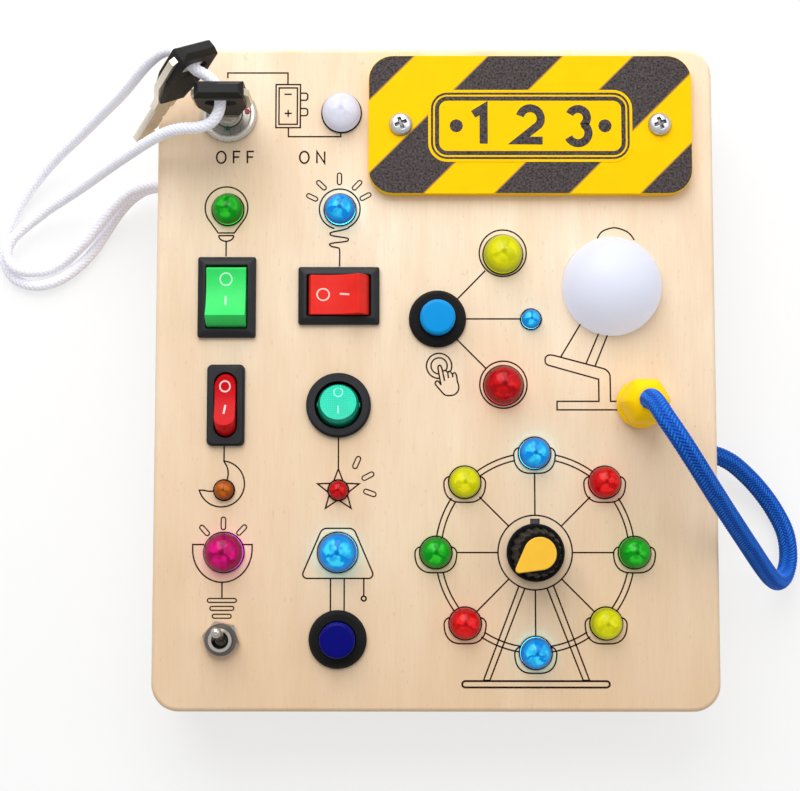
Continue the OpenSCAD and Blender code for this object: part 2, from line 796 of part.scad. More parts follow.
module red_rocker() {
  color("crimson") on_face(red_switch_at) rotate(90) large_rocker();
}

module slim_switch_housing() {
  slot = [slim_w + 2 * slide_gap, slim_l + 2 * slide_gap];
  color("#222226") on_face(slim_switch_at) difference() {
    housing_solid([slim_frame_w, frame_l], slim_housing_inset, 1.4);
    translate([0, 0, -well_depth]) linear_extrude(well_depth + frame_h + 1)
      round_slot(slot[0], slot[1]);
    cross_pin(slim_pivot_d + 2 * turn_gap, slot[0] + 2 * pivot_l + 0.1);
  }
}

// revolved round-ended outline, cut to two faces
module slim_rocker() {
  color("crimson") on_face(slim_switch_at) rotate([-rocker_tilt, 0, 0]) {
    intersection() {
      rotate([0, 90, 0]) rotate_extrude() {
        translate([0, -slim_w / 2]) square([(slim_l - slim_w) / 2, slim_w]);
        intersection() {
          translate([(slim_l - slim_w) / 2, 0]) circle(slim_w / 2);
          translate([0, -slim_w / 2]) square([slim_l, slim_w]);
        }
      }
      rocker_cut(slim_l / 2, slim_w, rocker_middle, rocker_ends);
    }
    cross_pin(slim_pivot_d, slim_w + 2 * (slide_gap + pivot_l) - 0.2);
  }
}

module round_switch_housing() {
  body_d = round_frame_d - 2 * housing_inset;
  opening = round_d + 2 * slide_gap;
  color("#222226") on_face(round_switch_at) difference() {
    union() {
      disc(round_frame_d, 0, frame_h * 0.55);
      disc(round_frame_d - 1.2, 0, frame_h);
      disc(body_d, -switch_depth, eps);
    }
    disc(opening, -well_depth + round_pivot_up, frame_h + 1);
    translate([0, 0, round_pivot_up])
      cross_pin(slim_pivot_d + 2 * turn_gap, opening + 2 * pivot_l + 0.1);
  }
}

// a short turned body that stays inside the ball about its pivot
module round_rocker() {
  r = round_d / 2 - 0.4;
  color("turquoise") on_face(round_switch_at) translate([0, 0, round_pivot_up])
    rotate([-rocker_tilt, 0, 0]) {
      intersection() {
        rotate_extrude() polygon([
          [0, -rocker_under], [r - 1.4, -rocker_under], [r, -rocker_under / 2], [r, 1.5],
          [r - 0.5, round_ends], [0, round_ends]
        ]);
        rocker_cut(round_d / 2, round_d, round_middle, round_ends);
      }
      cross_pin(slim_pivot_d, round_d + 2 * (slide_gap + pivot_l) - 0.2);
    }
}

// ---------------------------------------------------------------- push buttons

stem_d = 3;
stem_l = 5;
cap_below = 3;
barrel_below = 7;
contacts_below = 4;

module button_housing() {
  collar_r = collar_d / 2;
  color("#1c1c20") difference() {
    union() {
      rotate_extrude() polygon([
        [0, 0], [collar_r, 0], [collar_r, collar_h * 0.4], [collar_r - 0.8, collar_h],
        [0, collar_h]
      ]);
      disc(button_barrel_d, -panel_t - barrel_below, eps);
      disc(button_barrel_d - 2, -panel_t - barrel_below - contacts_below, -panel_t - barrel_below + eps);
    }
    disc(cap_d + 2 * hole_gap, -cap_below - cap_travel - slide_gap, collar_h + 1);
    disc(stem_d + 2 * hole_gap, -cap_below - stem_l - cap_travel - slide_gap, 0);
  }
}

// cap with a rounded crown, on its stem
module button_cap() {
  r = cap_d / 2;
  crown = 0.9;
  rotate_extrude() {
    translate([0, -cap_below]) square([r, cap_h + cap_below - crown]);
    translate([0, -cap_below]) square([r - crown, cap_h + cap_below]);
    intersection() {
      translate([r - crown, cap_h - crown]) circle(crown);
      translate([0, cap_h - crown]) square([r, crown]);
    }
  }
  disc(stem_d, -cap_below - stem_l, -cap_below + eps);
}

module dark_button_housing() {
  on_face(dark_button_at) button_housing();
}

module dark_button_cap() {
  color("navy") on_face(dark_button_at) button_cap();
}

module light_button_housing() {
  on_face(light_button_at) button_housing();
}

module light_button_cap() {
  color("dodgerblue") on_face(light_button_at) button_cap();
}

// ---------------------------------------------------------------- toggle

lever_pin_d = 1;
lever_neck_d = 2.2;
lever_tail_d = 1.4;
lever_tail_l = 3.6;

module toggle_case() {
  size = toggle_case_size;
  color("silver") on_face(toggle_at) difference() {
    union() {
      disc(bushing_d, -panel_t - eps, bushing_h);
      block(size[0], size[1], -panel_t - size[2], -panel_t);
    }
    disc(bushing_bore_d, -panel_t - 1, bushing_h + 1);
    translate([0, 0, lever_pivot_up])
      cross_pin(lever_pin_d + 2 * turn_gap, bushing_d + 1);
  }
}

module toggle_lever() {
  color("gainsboro") on_face(toggle_at) translate([0, 0, lever_pivot_up])
    rotate([-lever_tilt, 0, 0]) {
      sphere(d = bushing_bore_d - 0.4);
      cylinder(d1 = lever_neck_d, d2 = lever_d, h = lever_l - lever_d / 2);
      translate([0, 0, lever_l - lever_d / 2]) sphere(d = lever_d);
      translate([0, 0, -lever_tail_l]) cylinder(d = lever_tail_d, h = lever_tail_l);
      cross_pin(lever_pin_d, bushing_d - 0.6);
    }
}

// ---------------------------------------------------------------- knob and its sensor

module potentiometer() {
  color("#303034") on_face(wheel_at) difference() {
    union() {
      disc(pot_d, -panel_t - pot_h, -panel_t);
      disc(pot_bushing_d, -panel_t - eps, pot_bushing_up);
      translate([0, lug_y]) block(lug_size[0], lug_size[1], -panel_t - 2, -0.3);
    }
    disc(shaft_d + 2 * turn_gap, -panel_t - pot_h + 2, pot_bushing_up + 1);
  }
}

module knob_shaft() {
  color("silver") on_face(wheel_at) disc(shaft_d, -panel_t - pot_h + 2.2, knob_h - 2);
}

// turned body with a skirt, fluted down its sides, hollow over the nut
module knob() {
  skirt_r = skirt_d / 2;
  low_r = skirt_r - 0.9;
  top_r = knob_top_d / 2;
  skirt_z = knob_gap + skirt_t;
  lean = atan((low_r - top_r) / (knob_h - skirt_z));
  flute_r = 0.75;
  color("#202024") on_face(wheel_at) difference() {
    rotate_extrude() polygon([
      [0, knob_gap], [skirt_r, knob_gap], [skirt_r, skirt_z - 0.5], [skirt_r - 0.4, skirt_z],
      [low_r, skirt_z], [top_r, knob_h - 0.5], [top_r - 0.5, knob_h], [0, knob_h]
    ]);
    disc(pot_nut_w / cos(30) + 0.8, knob_gap - 1, pot_bushing_up + 0.6);
    disc(shaft_d + 2 * turn_gap, knob_gap - 1, knob_h - 2 + turn_gap);
    for (n = [0:flutes - 1]) rotate(n * 360 / flutes)
      translate([low_r + 0.35, 0, skirt_z]) rotate([0, -lean, 0])
        cylinder(r = flute_r, h = 2 * knob_h, $fn = 24);
  }
}

// teardrop cap: a disc, a small disc at its blunt point and the two lines that touch both
module knob_pointer() {
  r = 4.1;
  reach = 7.4;
  tip_r = 0.9;
  tip = [reach - tip_r, 0];
  touch = acos((r - tip_r) / tip[0]);
  side = [cos(touch), sin(touch)];
  other = [cos(touch), -sin(touch)];
  color("gold") on_face(wheel_at) translate([0, 0, knob_h]) linear_extrude(0.9) rotate(pointer_angle) {
    circle(r);
    translate(tip) circle(tip_r);
    polygon([r * other, tip + tip_r * other, tip + tip_r * side, r * side]);
  }
}

// ---------------------------------------------------------------- lamps

// domed lens with its rim behind the panel
module led(d, up) {
  disc(d + 2 * led_rim_w, -panel_t - led_rim_t, -panel_t);
  disc(d, -panel_t - eps, up - d / 2);
  translate([0, 0, up - d / 2]) sphere(d = d);
}

function wheel_light_at(n) = wheel_at + wheel_r * [sin(45 * n), cos(45 * n)];

module wheel_leds(colour_name) {
  for (n = [0:7]) if (wheel_colours[n] == colour_name) on_face(wheel_light_at(n)) led(led_d, led_up);
}

module status_led() {
  color("white") on_face(status_at) led(large_led_d, large_led_up);
}

module green_leds() {
  color("limegreen") {
    on_face(green_led_at) led(led_d, led_up);
    wheel_leds("green");
  }
}

module blue_leds() {
  color("deepskyblue") {
    on_face(blue_led_at) led(led_d, led_up);
    wheel_leds("blue");
  }
}

module yellow_leds() {
  color("yellow") wheel_leds("yellow");
}

module red_leds() {
  color("red") wheel_leds("red");
}

module amber_led() {
  color("saddlebrown") on_face(amber_at) led(small_led_d, small_led_up);
}

module small_red_led() {
  color("red") on_face(star_at) led(small_led_d, small_led_up);
}

module small_blue_led() {
  color("deepskyblue") on_face(small_blue_at) led(small_led_d, small_led_up);
}

module large_magenta_led() {
  color("mediumvioletred") on_face(magenta_at) led(large_led_d, large_led_up);
}

module large_blue_led() {
  color("deepskyblue") on_face(lamp_shade_at) led(large_led_d, large_led_up);
}

module large_yellow_led() {
  color("yellow") on_face(yellow_at) led(large_led_d, large_led_up);
}

module large_red_led() {
  color("red") on_face(large_red_at) led(large_led_d, large_led_up);
}

dome_rim_t = 1.5;
dome_wide = 1.5;
lamp_board_t = 1.2;
lamp_chip_w = 3.5;
lamp_chip_h = 2;
wall_up = 1;

// solid under a ball's cap that stands on a short round wall
module dome_solid(d, up, cap) {
  ball_r = (d * d / 4 + cap * cap) / (2 * cap);
  disc(d, -panel_t - dome_rim_t, up);
  intersection() {
    translate([0, 0, up + cap - ball_r]) sphere(r = ball_r, $fn = 96);
    disc(d, up - eps, up + cap + 1);
  }
}

module lamp_dome() {
  color("white") on_face(dome_at) difference() {
    union() {
      dome_solid(dome_d, wall_up, dome_h);
      disc(dome_d + 2 * dome_wide, -panel_t - dome_rim_t, -panel_t);
    }
    translate([0, 0, -eps])
      dome_solid(dome_d - 2 * dome_wall, wall_up - 0.2, dome_h - dome_wall + 0.2);
  }
}

module lamp_board() {
  color("darkgreen") on_face(dome_at) {
    disc(dome_d, -panel_t - dome_rim_t - lamp_board_t, -panel_t - dome_rim_t);
    block(lamp_chip_w, lamp_chip_w, -panel_t - dome_rim_t - eps, -panel_t - dome_rim_t + lamp_chip_h);
  }
}

// ---------------------------------------------------------------- plug and socket

module jack_socket() {
  color("#2a2a2e") on_face(jack_at) difference() {
    union() {
      disc(jack_flange_d, 0, jack_flange_t);
      disc(jack_barrel_d, -jack_depth, eps);
    }
    disc(plug_pin_d + 2 * turn_gap, -jack_depth + 0.8, jack_flange_t + 1);
  }
}

// base ring and a six-sided grip that rounds in to the cord
module plug_grip() {
  z0 = jack_flange_t + hole_gap;
  ring_z = z0 + plug_base_t;
  cord_r = plug_cord_d / 2 + 0.7;
  hex_z = plug_h - 3;
  grip_r = plug_grip_w / 2 + 0.7;
  color("gold") on_face(jack_at) {
    rotate_extrude() polygon([
      [0, z0], [plug_base_d / 2 - 0.4, z0], [plug_base_d / 2, z0 + 0.5],
      [plug_base_d / 2, ring_z - 0.6], [plug_base_d / 2 - 0.6, ring_z], [0, ring_z]
    ]);
    intersection() {
      translate([0, 0, ring_z - eps]) linear_extrude(plug_h - ring_z + eps)
        circle(d = plug_grip_w / cos(30), $fn = 6);
      rotate_extrude() polygon([
        [0, 0], [grip_r, 0], [grip_r, hex_z - 2], [grip_r - 0.3, hex_z - 0.8],
        [grip_r - 1, hex_z + 0.5], [grip_r - 2, hex_z + 1.8], [cord_r, plug_h], [0, plug_h]
      ]);
    }
  }
}

module plug_pin() {
  r = plug_pin_d / 2;
  color("silver") on_face(jack_at) rotate_extrude() polygon([
    [0, -plug_pin_l], [0.6, -plug_pin_l], [r, -plug_pin_l + 1.6], [r - 0.4, -plug_pin_l + 3],
    [r, -plug_pin_l + 3.6], [r, jack_flange_t + hole_gap], [0, jack_flange_t + hole_gap]
  ]);
}

// ---------------------------------------------------------------- battery box

module battery_box() {
  color("#2c2c30") difference() {
    union() {
      translate([box_at[0], box_at[1], 0]) block(box_out[0], box_out[1], rim_z, rim_z + box_h);
      translate([boss_at[0], boss_at[1], 0]) disc(boss_d, rim_z, rim_z + boss_h);
    }
    translate([box_at[0], box_at[1], 0]) block(box_in[0], box_in[1], rim_z - 1, rim_z + box_h - box_wall);
    translate([boss_at[0], boss_at[1], 0]) disc(door_screw_d + 2 * turn_gap, rim_z - 1, rim_z + boss_h - 1);
  }
}

// two cells side by side, nubs at opposite ends
module batteries() {
  z = rim_z + cell_gap / 2 + battery_d / 2;
  nub_l = 1;
  nub_d = 5.5;
  color("seagreen") for (side = [-1, 1])
    translate([box_at[0], box_at[1] + side * (battery_d + cell_gap) / 2, z]) {
      translate([-side * nub_l / 2, 0, 0]) cross_pin(battery_d, battery_l - nub_l);
      translate([side * (battery_l / 2 - nub_l), 0, 0]) cross_pin(nub_d, 2 * nub_l);
    }
}

module battery_door() {
  ridge_x = door_x0 + 5;
  color("#2c2c30") difference() {
    translate([0, 0, door_lift]) linear_extrude(door_t) door_outline(0);
    translate([boss_at[0], boss_at[1], 0]) {
      disc(door_screw_d + 2 * hole_gap, -1, back_t + 1);
      disc(door_screw_head_d + 4 * hole_gap, -1, door_lift + door_screw_head_t);
    }
    for (n = [0:4]) translate([ridge_x + 2 * n, box_at[1], 0]) block(0.9, 14, -1, door_lift + 0.5);
  }
}

module door_screw() {
  color("silver") translate([boss_at[0], boss_at[1], 0]) difference() {
    union() {
      disc(door_screw_head_d, door_lift + 0.1, door_lift + door_screw_head_t);
      disc(door_screw_d, 1, rim_z + boss_h - 2);
    }
    for (a = [0, 90]) rotate(a) block(0.6, 0.6 * door_screw_head_d, -1, 0.8);
  }
}

// ---------------------------------------------------------------- electronics

// board behind the wheel, with its driver chip and parts
module control_board() {
  color("darkgreen") translate([wheel_at[0], wheel_at[1], 0]) {
    difference() {
      block(board_pcb, board_pcb, pcb_z, pcb_z + pcb_t);
      for (n = [0:7]) translate(wheel_r * [sin(45 * n), cos(45 * n)])
        for (x = [-leg_pitch, leg_pitch]) translate([x, 0]) disc(1, pcb_z - 1, pcb_z + pcb_t + 1);
    }
    translate([-chip_size[0], -chip_size[0], 0]) block(chip_size[0], chip_size[1], pcb_z - chip_t, pcb_z);
    translate([2 * small_chip_size[0], small_chip_size[0], 0])
      block(small_chip_size[0], small_chip_size[1], pcb_z - chip_t, pcb_z);
    translate([2 * capacitor_d, -2 * capacitor_d, 0])
      disc(capacitor_d, pcb_z - capacitor_h, pcb_z);
  }
}

// nuts behind the panel, and the toggle's nut and washer on the face
module mounting_nuts() {
  color("silver") {
    on_face(lock_at) hex_nut(lock_nut_w, lock_barrel_d + 2 * turn_gap, -panel_t - panel_nut_t, -panel_t);
    for (at = [dark_button_at, light_button_at])
      on_face(at)
        hex_nut(button_nut_w, button_barrel_d + 2 * turn_gap, -panel_t - panel_nut_t, -panel_t);
    on_face(jack_at)
      hex_nut(jack_nut_w, jack_barrel_d + 2 * turn_gap, -panel_t - panel_nut_t, -panel_t);
    on_face(wheel_at) hex_nut(pot_nut_w, pot_bushing_d + 2 * turn_gap, 0, pot_nut_t);
    on_face(toggle_at) difference() {
      union() {
        disc(toggle_nut_w - 0.6, 0, washer_t);
        rotate(15) hex_nut(toggle_nut_w, 1, washer_t - eps, washer_t + toggle_nut_t);
      }
      disc(bushing_d + 2 * turn_gap, -1, washer_t + toggle_nut_t + 1);
    }
  }
}

leg_d = 0.6;
leg_pitch = 1.27;
leg_l = 8;

module legs(at, l) {
  on_face(at) for (x = [-leg_pitch, leg_pitch]) translate([x, 0])
    disc(leg_d, -panel_t - led_rim_t - l, -panel_t - led_rim_t);
}

blade_w = 4.8;
blade_t = 0.8;
blade_l = 7;
blade_pitch = 5;
round_blade_pitch = 3;

// flat terminals under a rocker switch
module blades(at, turn, pitch) {
  on_face(at) rotate(turn) for (y = [-pitch, pitch]) translate([0, y])
    block(blade_w, blade_t, -switch_depth - blade_l, -switch_depth);
}

// soldered and plugged connections: legs, terminals and the leads between them
module wiring() {
  lead_d = 1.2;
  low = rim_z + 2;
  color("peru") {
    for (at = [
      status_at, green_led_at, blue_led_at, amber_at, star_at, magenta_at, lamp_shade_at,
      yellow_at, large_red_at, small_blue_at
    ]) legs(at, leg_l);
    for (n = [0:7]) legs(wheel_light_at(n), inner_z - led_rim_t - pcb_z + 1);
    blades(green_switch_at, 0, blade_pitch);
    blades(red_switch_at, 90, blade_pitch);
    blades(slim_switch_at, 0, blade_pitch);
    blades(round_switch_at, 0, round_blade_pitch);
  }
  box_x = box_at[0] - box_out[0] / 2;
  color("firebrick") tube([
    [box_x, box_at[1] + 3, low + 4], [box_x - 3, box_at[1] + 3, low + 4],
    [box_x - 8, box_at[1] + 4, low + 2], [status_at[0], status_at[1] - 4, low],
    [lock_at[0] + 14, lock_at[1] - 2, low], [lock_at[0] + 3, lock_at[1], low],
    [lock_at[0], lock_at[1], low + 1.5], [lock_at[0], lock_at[1], face_z - lock_depth - 0.6]
  ], lead_d, 6);
  color("dimgray") tube([
    [box_x, box_at[1] - 6, low + 4], [box_x - 3, box_at[1] - 6, low + 4],
    [box_x - 5, box_at[1] - 10, low + 2], [light_button_at[0] - 11, light_button_at[1] + 14, low],
    [light_button_at[0] - 12, light_button_at[1] - 20, low],
    [wheel_at[0] - 29, wheel_at[1] + 16, low], [wheel_at[0] - 18, wheel_at[1] + 5, low + 2],
    [wheel_at[0] - 14, wheel_at[1] + 1, low + 5], [wheel_at[0] - 13, wheel_at[1], pcb_z - 2],
    [wheel_at[0] - 13, wheel_at[1], pcb_z]
  ], lead_d, 6);
}

front_panel();
rim_long(-1);  // rim_left
rim_long(1);  // rim_right
rim_short(1);  // rim_top
rim_short(-1);  // rim_bottom
back_panel();
back_screws();
sign_plate();
sign_screws();
key_lock_housing();
lock_cylinder();
key_plate();
key_grip();
spare_key_plate();
spare_key_grip();
key_cord();
plug_cord();
cord_knots();
green_switch_housing();
green_rocker();
red_switch_housing();
red_rocker();
slim_switch_housing();
slim_rocker();
round_switch_housing();
round_rocker();
dark_button_housing();
dark_button_cap();
light_button_housing();
light_button_cap();
toggle_case();
toggle_lever();
potentiometer();
knob_shaft();
knob();
knob_pointer();
lamp_dome();
lamp_board();
status_led();
green_leds();
blue_leds();
yellow_leds();
red_leds();
amber_led();
small_red_led();
small_blue_led();
large_magenta_led();
large_blue_led();
large_yellow_led();
large_red_led();
jack_socket();
plug_grip();
plug_pin();
battery_box();
batteries();
battery_door();
door_screw();
control_board();
mounting_nuts();
wiring();
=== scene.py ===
import bmesh
import bpy
import math
import numpy as np
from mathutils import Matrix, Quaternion, Vector


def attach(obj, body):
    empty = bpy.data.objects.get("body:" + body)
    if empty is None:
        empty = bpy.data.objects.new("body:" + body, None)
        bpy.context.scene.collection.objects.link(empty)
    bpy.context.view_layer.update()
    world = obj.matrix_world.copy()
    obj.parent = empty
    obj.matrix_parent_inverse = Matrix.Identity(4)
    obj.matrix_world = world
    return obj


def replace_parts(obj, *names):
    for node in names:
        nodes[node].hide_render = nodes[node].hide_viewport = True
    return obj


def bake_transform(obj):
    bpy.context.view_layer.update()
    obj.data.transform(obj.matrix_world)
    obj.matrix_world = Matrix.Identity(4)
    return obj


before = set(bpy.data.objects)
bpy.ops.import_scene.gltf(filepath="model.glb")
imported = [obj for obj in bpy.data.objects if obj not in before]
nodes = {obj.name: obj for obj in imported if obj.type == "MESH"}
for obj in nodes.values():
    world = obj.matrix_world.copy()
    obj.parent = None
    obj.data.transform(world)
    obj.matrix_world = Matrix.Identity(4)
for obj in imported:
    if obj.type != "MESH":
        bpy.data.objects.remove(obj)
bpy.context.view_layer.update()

# ---- Camera: a long lens held 0.4 m over the face of the board, which lies on its back. It looks
# down almost square to the face, tipped by under five degrees towards the sign plate.
lens = bpy.data.cameras.new("camera")
lens.sensor_width = 36
lens.lens = 69.75
lens.clip_start = 0.01
lens.clip_end = 20
camera = bpy.data.objects.new("camera", lens)
camera.location = (-0.00874, -0.03832, 0.42840)
tip = Vector((0.08241, 0.00108, 0.00044))
camera.rotation_mode = "QUATERNION"
camera.rotation_quaternion = Quaternion(tip.normalized(), tip.length)
bpy.context.scene.collection.objects.link(camera)
bpy.context.scene.camera = camera

# ---- White key cord: a limp braided cotton cord, 3 mm thick. It leaves the left side of the rim,
# lies in a loop beside the board, climbs to the spare key, passes through both keys' grips and
# comes back down to the same hole, where its knot holds it.
key_cord_d = 3
key_cord_route = np.array([
    (-65.5, 53.6, 9.4), (-73, 53.6, 9.4), (-78.6, 53.2, 8.2), (-83, 51.2, 6), (-86.6, 48.2, 3.8),
    (-89.6, 44.6, 2.2), (-92.8, 39.8, 1.6), (-96, 35.4, 1.6), (-100, 31.6, 1.6),
    (-104.4, 28.8, 1.6), (-108.8, 27.6, 1.6), (-112.8, 27.8, 1.6), (-116.2, 29.4, 1.6),
    (-118.4, 32.2, 1.6), (-119.4, 35.8, 1.6), (-119.4, 39.8, 1.6), (-118.2, 44.4, 1.6),
    (-116.2, 48.6, 1.8), (-113, 53.4, 2.4), (-108.8, 58.2, 4), (-104.2, 62, 7), (-99, 65.2, 11.4),
    (-93.6, 68, 17), (-88, 70.6, 23.8), (-82.6, 72.8, 31), (-78.4, 74.8, 37), (-74.6, 76.8, 42.6),
    (-70.8, 78.6, 47), (-67.4, 79.4, 49.6), (-64.2, 78.6, 50.8), (-61.8, 76.2, 50.9),
    (-60, 74.2, 50.9), (-57.8, 73, 50.6), (-55.6, 71.2, 50.1), (-54.3, 68.5, 49.5),
    (-54.1, 65.8, 49), (-54.9, 63.3, 48.5), (-56.8, 61.4, 47.8), (-60, 60.6, 46.8),
    (-63.8, 60.8, 45.2), (-67.4, 60.6, 43.2), (-71, 59.8, 40.6), (-75, 58.6, 37.2),
    (-79.6, 57.2, 32.4), (-84.6, 55.8, 26.8), (-89.8, 54.2, 20.8), (-95.2, 52.4, 15),
    (-100.6, 50.4, 10.4), (-105.6, 48.2, 7.2), (-109.8, 45.6, 5.4), (-113.6, 42.8, 4.8),
    (-116.6, 39.6, 4.8), (-117.8, 36, 4.8), (-116.6, 32.8, 4.6), (-113.6, 31.2, 3.8),
    (-110, 31.2, 2.6), (-106.6, 32, 1.8), (-102.8, 33.8, 2.2), (-99.4, 36.4, 3.4),
    (-96, 39.4, 4.6), (-92.8, 43, 5.4), (-89.6, 46.6, 6.6), (-86.2, 49.8, 8.2),
    (-82.6, 52.2, 10.2), (-78.4, 53.4, 12), (-73, 53.6, 12.6), (-65.5, 53.6, 12.6)])


def srgb(r, g, b):
    """Shader colour of an 8-bit display colour: the display's curve undone in each channel."""
    v = np.array([r, g, b]) / 255
    return (*np.where(v <= 0.04045, v / 12.92, ((v + 0.055) / 1.055) ** 2.4), 1)


def cord_line(points, step):
    """Smooth line through the points, in even steps. Each stretch is the cubic whose slope at a
    point is half the way from the point before to the point after. Returns it and its length."""
    p = np.vstack([2 * points[0] - points[1], points, 2 * points[-1] - points[-2]])
    t = np.linspace(0, 1, 24, endpoint=False)[:, None, None]
    a, b, c, d = p[:-3], p[1:-2], p[2:-1], p[3:]
    fine = 0.5 * (2 * b + (c - a) * t + (2 * a - 5 * b + 4 * c - d) * t**2
                  + (3 * b - a - 3 * c + d) * t**3)
    fine = np.vstack([fine.transpose(1, 0, 2).reshape(-1, 3), points[-1:]])
    run = np.r_[0, np.cumsum(np.linalg.norm(np.diff(fine, axis=0), axis=1))]
    at = np.linspace(0, run[-1], int(run[-1] / step) + 1)
    return np.column_stack([np.interp(at, run, fine[:, k]) for k in range(3)]), run[-1]


def across_line(line):
    """Two directions across the line at each station, carried along it without twist: each is
    the one before it, less its part along the line."""
    ahead = np.gradient(line, axis=0)
    ahead /= np.linalg.norm(ahead, axis=1)[:, None]
    side = np.empty_like(line)
    s = np.array([0.1, 0.3, 1.0])
    for i, a in enumerate(ahead):
        s = s - a * (s @ a)
        s = s / np.linalg.norm(s)
        side[i] = s
    return side, np.cross(ahead, side)


def new_piece(name, points, faces, smooth=True):
    """An object at the origin from points in millimetres and faces that index them."""
    mesh = bpy.data.meshes.new(name)
    mesh.from_pydata((np.asarray(points, float) / 1000).tolist(), [], [list(f) for f in faces])
    mesh.polygons.foreach_set("use_smooth", np.full(len(mesh.polygons), smooth))
    piece = bpy.data.objects.new(name, mesh)
    bpy.context.scene.collection.objects.link(piece)
    return piece


def wrapped_faces(rows, around, ring=False):
    """Quads between rows of points that close round on themselves, with both ends capped. On a
    ring the last row joins the first one instead."""
    i, k = np.meshgrid(np.arange(rows - (not ring)), np.arange(around), indexing="ij")
    n, up = (k + 1) % around, (i + 1) % rows
    quads = np.stack([i * around + k, i * around + n, up * around + n, up * around + k], -1)
    if ring:
        return quads.reshape(-1, 4).tolist()
    first, last = np.arange(around)[::-1], (rows - 1) * around + np.arange(around)
    return quads.reshape(-1, 4).tolist() + [first.tolist(), last.tolist()]


def braided_cord(name, route, diameter, threads, pitch, step, around, lift=0.16):
    """Tube along the route whose surface is a two-over, two-under braid. a and b count the threads
    of the two hands: turn * threads / 2 plus and minus length / pitch. Where (cell of a + cell of
    b) mod 4 is under 2 the first hand is on top. The radius is half the diameter, less lift
    times one minus the sine of the top thread's own width. Stores the height and the hand."""
    line, length = cord_line(route, step)
    side, up = across_line(line)
    turn = np.linspace(0, 2 * np.pi, around, endpoint=False)
    s = np.linspace(0, length, len(line))[:, None]
    a = turn / (2 * np.pi) * threads / 2 + s / pitch
    b = turn / (2 * np.pi) * threads / 2 - s / pitch
    first_on_top = (np.floor(a) + np.floor(b)) % 4 < 2
    wide, long = np.where(first_on_top, b, a), np.where(first_on_top, a, b)
    height = np.abs(np.sin(np.pi * wide)) ** 0.7 * (0.75 + 0.25 * np.abs(np.sin(np.pi * long)))
    radius = diameter / 2 * (1 - lift * (1 - height))
    round_it = np.cos(turn)[None, :, None] * side[:, None] + np.sin(turn)[None, :, None] * up[:, None]
    points = line[:, None] + radius[..., None] * round_it
    piece = new_piece(name, points.reshape(-1, 3), wrapped_faces(len(line), around))
    for kind, value in (("thread_height", height), ("thread_hand", first_on_top * 1.0)):
        attribute = piece.data.attributes.new(kind, "FLOAT", "POINT")
        attribute.data.foreach_set("value", value.astype(np.float32).ravel())
    return piece, line / 1000, length / 1000


def new_finish(name, colour, roughness, **plain):
    """A material with one shader. Values that are the same all over are set on its own sockets."""
    finish = bpy.data.materials.new(name)
    finish.use_nodes = True
    shader = finish.node_tree.nodes["Principled BSDF"]
    shader.inputs["Base Color"].default_value = colour
    shader.inputs["Roughness"].default_value = roughness
    for socket, value in plain.items():
        shader.inputs[socket.replace("_", " ")].default_value = value
    return finish, finish.node_tree.nodes, finish.node_tree.links.new, shader


def grain(finish, size, stretch=(1, 1, 1), detail=3, coordinate="Object"):
    """A noise of about the given size in millimetres, stretched along an axis."""
    n, link = finish.node_tree.nodes, finish.node_tree.links.new
    place = n.new("ShaderNodeTexCoord")
    scale = n.new("ShaderNodeMapping")
    scale.inputs["Scale"].default_value = [1000 / size / k for k in stretch]
    noise = n.new("ShaderNodeTexNoise")
    noise.inputs["Scale"].default_value = 1
    noise.inputs["Detail"].default_value = detail
    link(place.outputs[coordinate], scale.inputs["Vector"])
    link(scale.outputs["Vector"], noise.inputs["Vector"])
    return noise.outputs["Fac"]


def between(finish, value, low, high, to_low, to_high):
    """The value moved from one range to another, and held inside it."""
    move = finish.node_tree.nodes.new("ShaderNodeMapRange")
    for socket, v in zip(("From Min", "From Max", "To Min", "To Max"), (low, high, to_low, to_high)):
        move.inputs[socket].default_value = v
    finish.node_tree.links.new(value, move.inputs["Value"])
    return move.outputs["Result"]


def mixed(finish, share, first, second, how="MIX"):
    """Two colours, or a colour and an output, mixed by a share from 0 to 1."""
    mix = finish.node_tree.nodes.new("ShaderNodeMix")
    mix.data_type = "RGBA"
    mix.blend_type = how
    for socket, v in zip((0, 6, 7), (share, first, second)):
        if isinstance(v, (int, float, tuple)):
            mix.inputs[socket].default_value = v
        else:
            finish.node_tree.links.new(v, mix.inputs[socket])
    return mix.outputs[2]


def raised(finish, value, height, shader=None):
    """A relief of the given height in millimetres on the shader's normal."""
    bump = finish.node_tree.nodes.new("ShaderNodeBump")
    bump.inputs["Distance"].default_value = height / 1000
    shader = shader or finish.node_tree.nodes["Principled BSDF"]
    finish.node_tree.links.new(value, bump.inputs["Height"])
    finish.node_tree.links.new(bump.outputs["Normal"], shader.inputs["Normal"])


def braid_finish(name, top, valley_shade, other_hand, fibre, **plain):
    """Yarn with painted shade between its threads: it takes the valley colour where its threads sink, and fibre noise
    mixes in a little more of it. A second tone lies on the other hand's threads.
    """
    finish, n, link, shader = new_finish(name, top, 0.8, Sheen_Weight=0.08, Specular_IOR_Level=0.25, **plain)
    height = n.new("ShaderNodeAttribute")
    height.attribute_name = "thread_height"
    hand = n.new("ShaderNodeAttribute")
    hand.attribute_name = "thread_hand"
    yarn = mixed(finish, hand.outputs["Fac"], other_hand, top)
    # Painted shade: the valley colour where the thread height is low.
    yarn = mixed(finish, between(finish, height.outputs["Fac"], 0.25, 0.85, 1, 0), yarn, valley_shade)
    fuzz = grain(finish, fibre, detail=2)
    yarn = mixed(finish, between(finish, fuzz, 0.35, 0.65, 0, 0.25), yarn, valley_shade)
    link(yarn, shader.inputs["Base Color"])
    raised(finish, fuzz, 0.05)
    return finish


